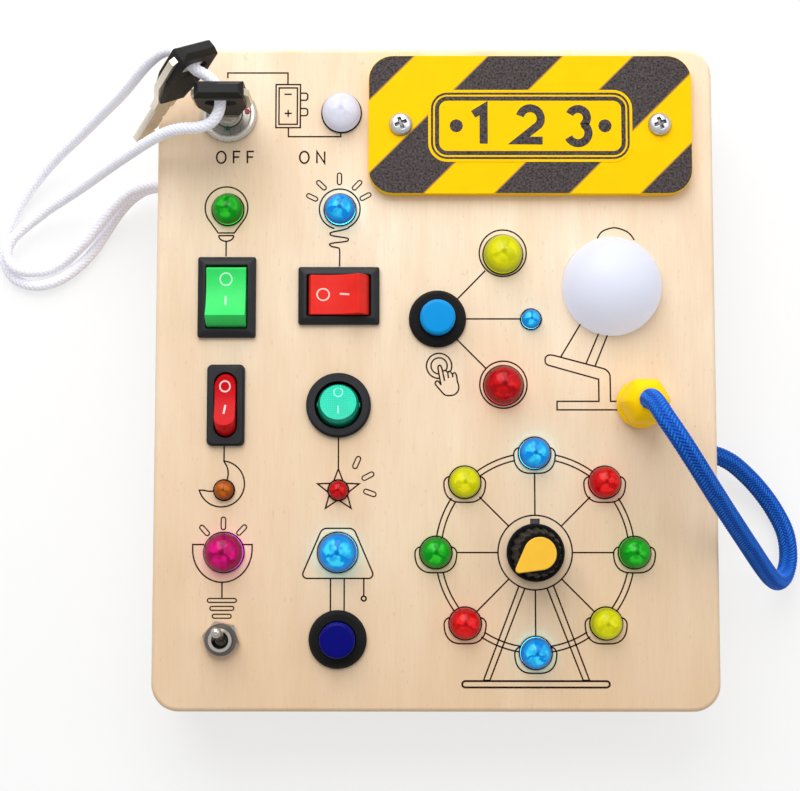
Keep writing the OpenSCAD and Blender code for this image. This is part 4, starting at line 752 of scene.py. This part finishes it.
screw_steel = plated("screw_steel", (0.86, 0.86, 0.88, 1), 0.3, 0.55)
shadowed_steel = plated("shadowed_steel", (0.86, 0.86, 0.88, 1), 0.3, 0.55)
shaded_by_depth(shadowed_steel, "sunk", (0.12, 0.12, 0.13, 1))
head_r = 3
head_h = 1.8
across_head = np.linspace(1, 0, 28)
pan = np.column_stack([across_head * head_r, 3.4 + (head_h - 0.4) * (1 - across_head**3) ** 0.7])
screws = turned("pan_screws", [sign_at + (x, 0) for x in (-33.6, 33.6)],
                np.vstack([[(0, -4), (1.5, -4), (1.5, 3), (head_r, 3)], pan]), 120, cross_recess)
screws.data.materials.append(shadowed_steel)
spot = np.empty(len(screws.data.vertices) * 3, np.float32)
screws.data.vertices.foreach_get("co", spot)
spot = spot.reshape(-1, 3) * 1000 - (*sign_at, 0)
spot[:, 0] -= np.sign(spot[:, 0]) * 33.6
smooth_z = face_z + 3.4 + (head_h - 0.4) * (1 - np.clip(np.hypot(spot[:, 0], spot[:, 1]) / head_r, 0, 1)**3) ** 0.7
sunk = screws.data.attributes.new("sunk", "FLOAT", "POINT")
sunk.data.foreach_set("value", np.where(spot[:, 2] > sign_z, smooth_z - spot[:, 2], 0).astype(np.float32))
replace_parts(screws, "sign_screws")
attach(screws, "board")
dress("back_screws", screw_steel)

# ---- Key lock: a nickel-plated lock body with a round front ring, pushed up through the face and
# held by a nut behind. OFF and ON stand printed below it, with a red and a green dot.
nickel = plated("nickel_plate", (0.92, 0.88, 0.80, 1), 0.32, 0.55)
lock_at = np.array([-54, 68.3])
softened("key_lock_housing", nickel, 0.15)
softened("lock_cylinder", nickel, 0.12, "key")
dish_nickel = plated("dish_nickel", (0.50, 0.48, 0.44, 1), 0.3, 0.5)
# Two thin dark rings printed on the lock's front: painted shade in its grooves.
groove_shade = moulded("groove_shade", srgb(58, 54, 48), 0.6)
printed("lock_dish", [inked(arc(lock_at, 4.7, 0, 355, 72), 1.9, True)], high=face_z + 1.2, finish=dish_nickel)
printed("lock_grooves", [inked(arc(lock_at, r, 0, 355, 72), 0.2, True) for r in (5.72, 3.7)],
        high=face_z + 1.22, finish=groove_shade)
letter_h = 3.1
letters = {"O": [(arc((0, 0), (1.55, 2.0), 0, 351, 40), True)],
           "F": [(np.array([(1.2, 2.0), (-1.0, 2.0), (-1.0, -2.0)]), False), (np.array([(-1.0, 0.1), (0.9, 0.1)]), False)],
           "N": [(np.array([(-1.3, -2.0), (-1.3, 2.0), (1.3, -2.0), (1.3, 2.0)]), False)]}
words = []
for x, letter in ((-55.9, "O"), (-51.9, "F"), (-48.3, "F"), (-34.2, "O"), (-29.9, "N")):
    words += [inked(np.array([x, 57.0]) + stroke * letter_h / 4, 0.44, closed) for stroke, closed in letters[letter]]
printed("switch_words", words)
red_dot = moulded("red_paint", srgb(158, 12, 40), 0.4)
green_dot = moulded("green_paint", srgb(4, 104, 66), 0.4)
for name, at, paint in (("red_dot", (-49.1, 68.9), red_dot), ("green_dot", (-54.1, 64.3), green_dot)):
    flat_shapes(name, [arc(at, 0.65, 0, 345, 24)], face_z + 1.0, face_z + 1.66, paint)

# ---- Keys: stamped plates of bronze-toned steel with black moulded grips. One stands in the lock
# and turns with its cylinder; the spare one hangs on the white cord.
key_bronze = plated("key_bronze", (0.95, 0.86, 0.72, 1), 0.3, 0.72, lines=6)
key_black = moulded("key_black", srgb(22, 21, 22), 0.5, 0.2, 0.03, 0.35, Specular_IOR_Level=0.3)
softened("key_plate", key_bronze, 0.12, "key")
spare_plate = softened("spare_key_plate", key_bronze, 0.12)
softened("key_grip", key_black, 0.3, "key")
spare_grip = softened("spare_key_grip", key_black, 0.3)

# ---- Rocker switches: black nylon housings that clip into the face, with glossy moulded rockers.
# Each shows its circle and its bar, printed white on the two slopes of the rocker.
frame_black = moulded("frame_black", srgb(32, 33, 37), 0.5, 0.2, 0.02, 0.3, Specular_IOR_Level=0.35)
for node in ("slim_switch_housing", "round_switch_housing"):
    softened(node, frame_black, 0.35)


def lofted(name, rows, at, turn, finish, body="board"):
    """A closed skin over level outlines, each a rectangle with round corners: its width, height,
    corner and height over the face. The outlines are turned by so many degrees and moved."""
    c, s = math.cos(math.radians(turn)), math.sin(math.radians(turn))
    points = []
    for w, h, corner, z in rows:
        outline = rounded_box((0, 0), w, h, corner) @ np.array([[c, s], [-s, c]]) + at
        points += [(x, y, face_z + z) for x, y in outline]
    piece = new_piece(name, points, wrapped_faces(len(rows), 40))
    piece.data.set_sharp_from_angle(angle=math.radians(30))
    piece.data.materials.append(finish)
    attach(piece, body)
    return piece


# A large frame from its body's floor up the outside, over the sloped rim and down the well.
large_frame = ((13, 19, 0.4, -12.5), (13, 19, 0.4, 0), (15, 21, 0.6, 0), (15, 21, 0.6, 1.0), (14.9, 20.9, 0.6, 1.2),
               (14.6, 20.6, 0.6, 1.35), (12.4, 18.4, 0.5, 1.92), (12.1, 18.1, 0.5, 2.0), (11.0, 16.8, 0.3, 2.0),
               (10.7, 16.5, 0.3, 1.85), (10.6, 16.4, 0.3, 1.6), (10.6, 16.4, 0.3, -5.9))
for node, at, turn in (("green_switch_housing", (-54, 20), 0), ("red_switch_housing", (-25, 20.4), 90)):
    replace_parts(lofted(node + "_frame", large_frame, at, turn, frame_black), node)
green_plastic = moulded("green_plastic", srgb(58, 224, 108), 0.4, 0.06, 0.01, Specular_IOR_Level=0.2,
                        Subsurface_Weight=0.15, Subsurface_Scale=0.002)
red_plastic = moulded("red_plastic", srgb(238, 44, 34), 0.4, 0.12, 0.01, Specular_IOR_Level=0.2)
slim_plastic = moulded("slim_red_plastic", srgb(206, 6, 16), 0.4, 0.12, 0.01, Specular_IOR_Level=0.15)
teal_plastic = moulded("teal_clear_plastic", srgb(30, 232, 192), 0.4, 0.12, 0, Specular_IOR_Level=0.3)


def ribbed(finish, pitch, colour):
    """Fine ribs both ways, as in clear plastic that spreads light: waves along x and along y, so
    many millimetres apart, raise the skin and mix a deeper colour into it."""
    n, link = finish.node_tree.nodes, finish.node_tree.links.new
    place = n.new("ShaderNodeTexCoord")
    scale = n.new("ShaderNodeMapping")
    scale.inputs["Scale"].default_value = [1000 / pitch] * 3
    link(place.outputs["Object"], scale.inputs["Vector"])
    sides = []
    for side in "XY":
        wave = n.new("ShaderNodeTexWave")
        wave.bands_direction = side
        wave.inputs["Scale"].default_value = math.pi / 10
        link(scale.outputs["Vector"], wave.inputs["Vector"])
        sides.append(wave.outputs["Fac"])
    both = n.new("ShaderNodeMath")
    both.operation = "MULTIPLY"
    link(sides[0], both.inputs[0])
    link(sides[1], both.inputs[1])
    shader = n["Principled BSDF"]
    own = shader.inputs["Base Color"].links[0].from_socket
    link(mixed(finish, between(finish, both.outputs[0], 0, 1, 0.35, 0), own, colour), shader.inputs["Base Color"])
    raised(finish, both.outputs[0], 0.05)


ribbed(teal_plastic, 0.55, srgb(8, 150, 120))
softened("green_rocker", green_plastic, 0.3, "green_rocker", sharp=20)
softened("red_rocker", red_plastic, 0.3, "red_rocker", sharp=20)
softened("slim_rocker", slim_plastic, 0.3, "slim_rocker", sharp=20)
rocker_tilt = math.radians(11)
round_at = np.array([-25, -8, face_z + 0.6])
# Painted shade: the round rocker's sides, where the normal tips away from straight up, take a deeper teal.
teal_nodes, teal_link = teal_plastic.node_tree.nodes, teal_plastic.node_tree.links.new
teal_facing = teal_nodes.new("ShaderNodeNewGeometry")
teal_up = teal_nodes.new("ShaderNodeSeparateXYZ")
teal_link(teal_facing.outputs["Normal"], teal_up.inputs[0])
teal_shader = teal_nodes["Principled BSDF"]
teal_own = teal_shader.inputs["Base Color"].links[0].from_socket
teal_link(mixed(teal_plastic, between(teal_plastic, teal_up.outputs["Z"], 0.5, 0.8, 0.8, 0), teal_own, srgb(2, 120, 92)),
          teal_shader.inputs["Base Color"])


def narrowed(points):
    """The round rocker's own sides lean in to its top: about its pivot, in its tipped frame, the
    width is 1 - 0.08 times the share of its height."""
    c, s = math.cos(rocker_tilt), math.sin(rocker_tilt)
    x, y, z = (points - round_at).T
    along, up = y * c - z * s, y * s + z * c
    share = 1 - 0.08 * np.clip(up / 2.8, 0, 1)
    x, along = np.where(np.abs(x) > 5.86, np.sign(x) * 5.6, x) * share, along * share
    return np.column_stack([x, along * c + up * s, up * c - along * s]) + round_at


softened("round_rocker", teal_plastic, 0.3, "round_rocker", sharp=20, shaped=narrowed)

# ---- Push buttons: black nylon collars with threaded barrels, and glossy caps on sprung stems.
collar_black = moulded("collar_black", srgb(25, 24, 25), 0.7, 0.2, 0.02, 0.25, Specular_IOR_Level=0.15)
for node in ("dark_button_housing", "light_button_housing"):
    softened(node, collar_black, 0.3)
navy = moulded("navy_plastic", srgb(2, 4, 116), 0.35, 0.1, 0.0, Specular_IOR_Level=0.12)
sky = moulded("sky_plastic", srgb(2, 146, 220), 0.35, 0.05, 0.0, Specular_IOR_Level=0.15)
softened("dark_button_cap", navy, 0.12, "dark_button")
softened("light_button_cap", sky, 0.12, "light_button")

# ---- Toggle switch: a nickel bushing with its nut, and a tapered steel lever with a round end.
toggle_nickel = plated("toggle_nickel", (0.78, 0.72, 0.66, 1), 0.2, 0.3)
softened("toggle_case", toggle_nickel, 0.3)
toggle_at = np.array([-54.6, -67.7])
# Painted reflection: the nut is dark on its top and 3.6 times as bright on its sides.
nut_dull = plated("nut_dull", (0.21, 0.19, 0.17, 1), 0.3, 3.6, lines=8)
turn = np.linspace(0, 2 * np.pi, 120, endpoint=False)
across = 4.25 / np.cos((turn - math.radians(48)) % (math.pi / 3) - math.pi / 6)
slope = np.clip((across - 4.1) * 1.2, 0, 0.9)
nut_rows = [(across - 0.2, 0.4 + 0 * turn), (across, 0.6 + 0 * turn), (across, 2.4 - slope),
            (np.minimum(across, 4.1), 2.4 + 0 * turn), (3.02 + 0 * turn, 2.4 + 0 * turn), (3.02 + 0 * turn, 0.4 + 0 * turn)]
nut = new_piece("toggle_nut", np.concatenate([np.column_stack([toggle_at[0] + r * np.cos(turn), toggle_at[1] + r * np.sin(turn),
                face_z + up]) for r, up in nut_rows]), wrapped_faces(len(nut_rows), 120, ring=True))
nut.data.set_sharp_from_angle(angle=math.radians(25))
nut.data.materials.append(nut_dull)
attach(nut, "board")
softened("toggle_lever", toggle_nickel, 0.08, "toggle")

# ---- Knob: a fluted black knob with a wide skirt on a steel shaft, and a yellow pointer cap.
knob_black = moulded("knob_black", srgb(13, 13, 16), 0.5, 0.2, 0.0, Specular_IOR_Level=0.12)
pointer_yellow = moulded("pointer_yellow", srgb(250, 194, 56), 0.5, 0.05, 0.01, Specular_IOR_Level=0.2)
softened("knob", knob_black, 0.12, "knob")
softened("knob_pointer", pointer_yellow, 0.3, "knob")
softened("knob_shaft", plated("shaft_steel", (0.7, 0.7, 0.72, 1), 0.3), 0, "knob")
dress("potentiometer", moulded("sensor_grey", srgb(70, 70, 76), 0.5))

# The circle and the bar on each rocker: thin white prints that lie on its dished top and tip with
# it. The plastic shows through them a little.


def rocker_marks(name, body, at, pivot_z, turn, reach, middle, ends, outer, stroke, circle_y, bar, bar_y, paint, lean=0):
    """Prints on a rocker. The dish is a circle whose radius is (half^2 + rise^2) / (2 rise), with
    half = sqrt(reach^2 - ends^2) and rise = ends - middle, so a point at y on it is at the height
    middle + R - sqrt(R^2 - y^2). The points are tipped about the pivot, then turned on the face."""
    half, rise = math.sqrt(reach**2 - ends**2), ends - middle
    dish = (half**2 + rise**2) / (2 * rise)
    c, s = math.cos(math.radians(lean)), math.sin(math.radians(lean))
    bar_ends = np.array([(-bar / 2 * s, -bar / 2 * c), (bar / 2 * s, bar / 2 * c)]) + (0, bar_y)
    lines = [inked(arc((0, circle_y), (outer - stroke) / 2, 0, 354, 60), stroke, True),
             inked(np.linspace(*bar_ends, 8), stroke * 1.25)]
    points, faces = [], []
    for left, right, closed in lines:
        k, start = len(left), len(points)
        for proud in (0.03, -0.08):
            for side in (left, right):
                z = middle + dish - np.sqrt(dish**2 - side[:, 1]**2) + proud
                points += np.column_stack([side, z]).tolist()
        for i in range(k if closed else k - 1):
            j = (i + 1) % k
            a, b, c2, d = (start + m for m in (i, j, k + i, k + j))
            faces += [(a, c2, d, b), (a + 2 * k, b + 2 * k, d + 2 * k, c2 + 2 * k),
                      (a, b, b + 2 * k, a + 2 * k), (c2, c2 + 2 * k, d + 2 * k, d)]
        if not closed:
            a, b = start, start + k - 1
            faces += [(a, a + 2 * k, a + 3 * k, a + k), (b, b + k, b + 3 * k, b + 2 * k)]
    p = np.array(points)
    ct, st = math.cos(rocker_tilt), math.sin(rocker_tilt)
    p = np.column_stack([p[:, 0], p[:, 1] * ct + p[:, 2] * st, -p[:, 1] * st + p[:, 2] * ct])
    cr, sr = math.cos(math.radians(turn)), math.sin(math.radians(turn))
    p = np.column_stack([p[:, 0] * cr - p[:, 1] * sr, p[:, 0] * sr + p[:, 1] * cr, p[:, 2]])
    piece = new_piece(name, p + (*at, pivot_z), faces, smooth=False)
    piece.data.materials.append(moulded(name + "_paint", paint, 0.6, 0.05, 0, Specular_IOR_Level=0.2))
    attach(piece, body)


rocker_marks("green_marks", "green_rocker", (-54, 20), face_z, 0, 7.9, 3.3, 4.8, 3.4, 0.38, 3.7, 2.6, -2.0,
             srgb(190, 242, 206))
rocker_marks("red_marks", "red_rocker", (-25, 20.4), face_z, 90, 7.9, 3.3, 4.8, 3.4, 0.38, 3.3, 2.6, -2.3,
             srgb(250, 204, 198), 6)
rocker_marks("slim_marks", "slim_rocker", (-54, -8), face_z, 0, 8.1, 3.3, 4.8, 3.0, 0.4, 4.0, 2.4, -2.0,
             srgb(250, 206, 208), 8)
rocker_marks("round_marks", "round_rocker", (-25, -8), face_z + 0.6, 0, 5.85, 2.7, 3.0, 2.6, 0.34, 2.7, 2.1, -1.9,
             srgb(152, 244, 226))

# ---- Panel lights: cast epoxy lenses of 5, 8 and 10 mm, each with a rim behind the face. Over its
# legs a lens holds a small bright cup that its dome makes look broken, like cut glass.
small_lens = (5, 3.2)
lens_size = (8, 5)
large_lens = (10, 6.2)
lens_rim_z = -6
lens_rim_w = 0.6


def reckoned(finish, how, *values):
    """A sum on numbers and outputs: ADD, MULTIPLY, SINE, ARCTAN2 and so on."""
    step = finish.node_tree.nodes.new("ShaderNodeMath")
    step.operation = how
    for socket, v in enumerate(values):
        if isinstance(v, (int, float)):
            step.inputs[socket].default_value = v
        else:
            finish.node_tree.links.new(v, step.inputs[socket])
    return step.outputs[0]


def lens_glass(name, bright, body, deep, glow=0.5, spill=2, light=None):
    """Tinted clear epoxy, lit from within. The bright cup shows through the dome as three lobes, where the sine of 3
    times the turn about the axis is high, with a dark middle and a dark collar; the collar near the lens's edge is
    painted shade. A share of its colour is light that it gives, and the rest is light that it returns.
    More light leaves through its upright wall."""
    finish, n, link, shader = new_finish(name, body, 0.2, Specular_IOR_Level=0.2)
    spot = n.new("ShaderNodeAttribute")
    spot.attribute_name = "off_axis"
    off = n.new("ShaderNodeSeparateXYZ")
    link(spot.outputs["Vector"], off.inputs[0])
    out = reckoned(finish, "SQRT", reckoned(finish, "ADD", reckoned(finish, "MULTIPLY", off.outputs[0], off.outputs[0]),
                                            reckoned(finish, "MULTIPLY", off.outputs[1], off.outputs[1])))
    turned_by = reckoned(finish, "ADD", reckoned(finish, "ARCTAN2", off.outputs[1], off.outputs[0]),
                         between(finish, grain(finish, 1.6, detail=2), 0.3, 0.7, -0.35, 0.35))
    lobes = reckoned(finish, "SINE", reckoned(finish, "ADD", reckoned(finish, "MULTIPLY", turned_by, 3), 0.5))
    lobes = reckoned(finish, "MULTIPLY", between(finish, lobes, -0.75, -0.3, 0, 1), between(finish, out, 0.08, 0.2, 0, 1))
    lobes = reckoned(finish, "MULTIPLY", lobes, between(finish, out, 0.62, 0.76, 1, 0.15))
    glint = between(finish, grain(finish, 2, detail=1), 0.4, 0.6, 0.35, 1)
    tone = mixed(finish, reckoned(finish, "MULTIPLY", lobes, glint), body, bright)
    tone = mixed(finish, between(finish, out, 0.04, 0.2, 0.6, 0), tone, deep)
    # Painted shade: a dark collar near the edge of the lens.
    tone = mixed(finish, between(finish, out, 0.8, 0.95, 0, 0.85), tone, deep)
    link(mixed(finish, glow, tone, (0, 0, 0, 1)), shader.inputs["Base Color"])
    facing = n.new("ShaderNodeNewGeometry")
    split = n.new("ShaderNodeSeparateXYZ")
    link(facing.outputs["Normal"], split.inputs[0])
    wall = between(finish, split.outputs["Z"], 0.02, 0.1, 1, 0)
    link(mixed(finish, wall, tone, light or bright), shader.inputs["Emission Color"])
    link(between(finish, wall, 0, 1, glow * 1.1, spill), shader.inputs["Emission Strength"])
    return finish


def lens_profile(size):
    """A rim behind the face, a straight wall and half a ball on it."""
    d, up = size
    wall = [(0, lens_rim_z), (d / 2 + lens_rim_w, lens_rim_z), (d / 2 + lens_rim_w, -5), (d / 2, -5),
            (d / 2, up - d / 2)]
    ball = arc((0, up - d / 2), d / 2, 0, 90, 22)
    ball[-1, 0] = 0
    return np.vstack([eased(wall, 0.12), ball[1:]])


def on_wheel(*numbers):
    return [wheel_at + wheel_r * np.array([math.sin(k * math.pi / 4), math.cos(k * math.pi / 4)]) for k in numbers]


red_glass = lens_glass("red_glass", srgb(236, 34, 36), srgb(190, 2, 8), srgb(120, 0, 6), 0.5, 1.5, srgb(255, 60, 80))
dark_red_glass = lens_glass("dark_red_glass", srgb(220, 18, 24), srgb(164, 2, 10), srgb(86, 0, 8), 0.4, 1.6, srgb(255, 60, 80))
green_glass = lens_glass("green_glass", srgb(44, 200, 40), srgb(0, 140, 22), srgb(0, 84, 14), 0.4, 1.5)
blue_glass = lens_glass("blue_glass", srgb(60, 214, 252), srgb(0, 134, 222), srgb(0, 62, 132), 0.6, 4.5)
yellow_glass = lens_glass("yellow_glass", srgb(230, 226, 20), srgb(200, 200, 0), srgb(146, 148, 0), 0.45, 0.7)
amber_glass = lens_glass("amber_glass", srgb(190, 100, 20), srgb(158, 74, 8), srgb(84, 34, 4), 0.2, 0.3)
magenta_glass = lens_glass("magenta_glass", srgb(220, 10, 124), srgb(150, 0, 72), srgb(76, 0, 36), 0.5, 2.8, srgb(226, 40, 206))
milk_glass = lens_glass("milk_glass", srgb(230, 230, 244), srgb(218, 218, 234), srgb(190, 190, 208), 0.5, 0.4)
lights = (("status_led", [status_at], large_lens, milk_glass, "dome_white"),
          ("green_leds", [green_light_at, *on_wheel(2, 6)], lens_size, green_glass, "green_lens"),
          ("blue_leds", [blue_light_at, *on_wheel(0, 4)], lens_size, blue_glass, "blue_lens"),
          ("yellow_leds", on_wheel(3, 7), lens_size, yellow_glass, "yellow_lens"),
          ("red_leds", on_wheel(1, 5), lens_size, red_glass, "red_lens"),
          ("amber_led", [amber_at], small_lens, amber_glass, "amber_lens"),
          ("small_red_led", [star_at], small_lens, dark_red_glass, "red_lens"),
          ("small_blue_led", [small_blue_at], small_lens, blue_glass, "blue_lens"),
          ("large_magenta_led", [magenta_at], large_lens, magenta_glass, "magenta_lens"),
          ("large_blue_led", [lamp_light_at], large_lens, blue_glass, "blue_lens"),
          ("large_yellow_led", [yellow_at], large_lens, yellow_glass, "yellow_lens"),
          ("large_red_led", [red_at], large_lens, dark_red_glass, "red_lens"))
# Painted shadow for the gaps round the lenses.
hole_shadow = moulded("hole_shadow", srgb(14, 9, 8), 0.9, Specular_IOR_Level=0.02)
for node, places, size, glass, slot in lights:
    piece = turned(node + "_lens", places, lens_profile(size))
    spot = np.empty(len(piece.data.vertices) * 3, np.float32)
    piece.data.vertices.foreach_get("co", spot)
    spot = spot.reshape(len(places), -1, 3) * 1000 - np.pad(np.array(places, float), ((0, 0), (0, 1)))[:, None]
    off_axis = piece.data.attributes.new("off_axis", "FLOAT_VECTOR", "POINT")
    off_axis.data.foreach_set("vector", (spot / (size[0] / 2)).astype(np.float32).ravel())
    piece.data.materials.append(glass)
    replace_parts(piece, node)
    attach(piece, "board")

# A thin dark ring printed round each lens on the face: painted shadow in the gap between the lens and its hole.
rings = []
for node, places, (d, up), glass, slot in lights:
    rings += [inked(arc(at, d / 2 + 0.15, 0, 355, 72), 0.34, True) for at in places]
printed("hole_shadow_rings", rings, high=face_z + 0.3, finish=hole_shadow)

# ---- Lamp: a large moulded dome of milky plastic, 1.2 mm thick, pressed up through the face, with
# a small board and its lamp chip behind.
dome_d = 25.7
dome_up = 1
dome_cap = 10.5
dome_wall = 1.2


def cap_arc(d, low, cap, steps):
    """Half of the circle through a cap's edge and its top: its radius is (d^2/4 + cap^2) / (2 cap)."""
    ball = (d * d / 4 + cap * cap) / (2 * cap)
    start = math.degrees(math.asin((ball - cap) / ball)) * -1 if cap > ball else math.degrees(math.asin((ball - cap) / ball))
    line = arc((0, low + cap - ball), ball, start, 90, steps)
    line[-1, 0] = 0
    return line


inner = cap_arc(dome_d - 2 * dome_wall, dome_up - 0.2, dome_cap - dome_wall + 0.2, 26)[::-1]
outer = cap_arc(dome_d, dome_up, dome_cap, 34)
edge = eased([inner[-1], (dome_d / 2 - dome_wall, -6.5), (dome_d / 2 + 1.5, -6.5), (dome_d / 2 + 1.5, -5),
              (dome_d / 2, -5), outer[0]], 0.3)
milky = moulded("milky_plastic", srgb(179, 182, 193), 0.45, 0.02, 0.0, Specular_IOR_Level=0.25,
                Emission_Color=srgb(228, 230, 248), Emission_Strength=0.42)
dome = turned("dome_shell", [dome_at], np.vstack([inner[:-1], edge, outer[1:]]), around=128)
dome.data.materials.append(milky)
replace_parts(dome, "lamp_dome")
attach(dome, "board")


def circuit(name):
    """Green lacquer over glass cloth, with darker copper tracks in it."""
    finish, n, link, shader = new_finish(name, srgb(12, 92, 52), 0.3, Coat_Weight=0.4)
    tracks = grain(finish, 1.4, (1, 3.5, 1), 1)
    tone = mixed(finish, between(finish, tracks, 0.48, 0.52, 0, 1), srgb(14, 98, 56), srgb(8, 66, 38))
    link(tone, shader.inputs["Base Color"])
    raised(finish, between(finish, tracks, 0.48, 0.52, 0, 1), 0.04)
    return finish


circuit_green = circuit("circuit_lacquer")
dress("lamp_board", circuit_green)

# ---- Plug and its socket: a moulded yellow plug whose six-sided grip rounds in to the blue cord,
# on a turned brass pin with a groove. It pulls straight out of a black socket in the face.
# The plug's yellow also glows a little: painted light that keeps its shaded sides bright.
plug_yellow = moulded("plug_yellow", srgb(255, 206, 0), 0.4, 0.04, 0.015, 0.5, Specular_IOR_Level=0.1,
                      Emission_Color=srgb(255, 200, 0), Emission_Strength=0.1)
jack_at = np.array([52.7, -7.6])
plug_rows = np.array([  # distance to the side, height over the face, share of six flat sides
    (5.7, 1.1, 0), (6.1, 1.2, 0), (6.3, 1.5, 0), (6.3, 2.9, 0), (6.2, 3.3, 0), (5.9, 3.6, 0.1), (5.7, 3.75, 0.5),
    (5.6, 4.0, 1), (5.6, 6.5, 1), (5.6, 9, 1), (5.55, 10.4, 1), (5.4, 11.4, 1), (5.15, 12.3, 0.95),
    (4.75, 13.2, 0.8), (4.3, 13.9, 0.6), (3.9, 14.4, 0.4), (3.5, 14.75, 0.2), (3.2, 14.95, 0)])
turn = np.linspace(0, 2 * np.pi, 96, endpoint=False)
flats = (sum(np.abs(np.cos(turn - math.radians(a))) ** 14 for a in (30, 90, 150))) ** (-1 / 14)
reach = plug_rows[:, :1] * (1 + plug_rows[:, 2:] * (flats - 1))
plug_body = np.stack([jack_at[0] + reach * np.cos(turn), jack_at[1] + reach * np.sin(turn),
                      np.broadcast_to(face_z + plug_rows[:, 1:2], reach.shape)], -1)
plug = new_piece("plug_body", plug_body.reshape(-1, 3), wrapped_faces(len(plug_rows), 96))
plug.data.materials.append(plug_yellow)
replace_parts(plug, "plug_grip")
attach(plug, "plug")
softened("plug_pin", plated("pin_nickel", (0.75, 0.74, 0.70, 1), 0.2), 0.1, "plug")
softened("jack_socket", moulded("socket_black", srgb(36, 36, 40), 0.45), 0.15)

# ---- Cord knots: overhand stopper knots of the same cords, pulled up behind the rim.
knot_yarn, n, link, shader = new_finish("knot_yarn", srgb(240, 240, 245), 0.85)
place = n.new("ShaderNodeTexCoord")
split = n.new("ShaderNodeSeparateXYZ")
link(place.outputs["Object"], split.inputs[0])
yarn = mixed(knot_yarn, between(knot_yarn, split.outputs["X"], -0.001, 0.001, 0, 1), srgb(240, 240, 245), srgb(6, 84, 200))
threads = grain(knot_yarn, 0.7, (1, 2, 1), 2)
link(mixed(knot_yarn, between(knot_yarn, threads, 0.45, 0.6, 0.6, 0), yarn, srgb(30, 34, 60)), shader.inputs["Base Color"])
raised(knot_yarn, threads, 0.15)
dress("cord_knots", knot_yarn)

# ---- Battery box: moulded black, with two cells in green sleeves, a door in the back and its screw.
box_plastic = moulded("box_plastic", srgb(40, 40, 44), 0.5, 0.15, 0.04, 0.4)
dress("battery_box", box_plastic)
softened("battery_door", box_plastic, 0.2, "battery_door")
softened("door_screw", screw_steel, 0, "battery_door")
sleeve, n, link, shader = new_finish("battery_sleeve", srgb(26, 122, 70), 0.35, Coat_Weight=0.5)
place = n.new("ShaderNodeTexCoord")
split = n.new("ShaderNodeSeparateXYZ")
link(place.outputs["Object"], split.inputs[0])
band = between(sleeve, split.outputs["X"], 0.036, 0.0362, 0, 1)
link(mixed(sleeve, band, srgb(26, 122, 70), srgb(196, 150, 60)), shader.inputs["Base Color"])
dress("batteries", sleeve)

# ---- Electronics and fastenings inside: the wheel's board, the tinned legs and blades with their
# two leads, and the nuts that hold the controls.
dress("control_board", circuit_green)
dress("wiring", plated("tinned_copper", (0.80, 0.56, 0.38, 1), 0.35, 0.5))


def nut_drawn_in(points):
    """The toggle's nut is a piece of its own, so the copy's one is drawn in under it."""
    off = points[:, :2] - toggle_at
    out = np.hypot(*off.T)
    near = (out < 6) & (points[:, 2] > face_z + 0.35)
    points[:, :2] = np.where(near[:, None], toggle_at + off * np.minimum(1, 3.9 / np.maximum(out, 0.01))[:, None], points[:, :2])
    points[:, 2] -= near * (points[:, 2] > face_z + 2) * 0.1
    return points


softened("mounting_nuts", toggle_nickel, 0.12, shaped=nut_drawn_in)
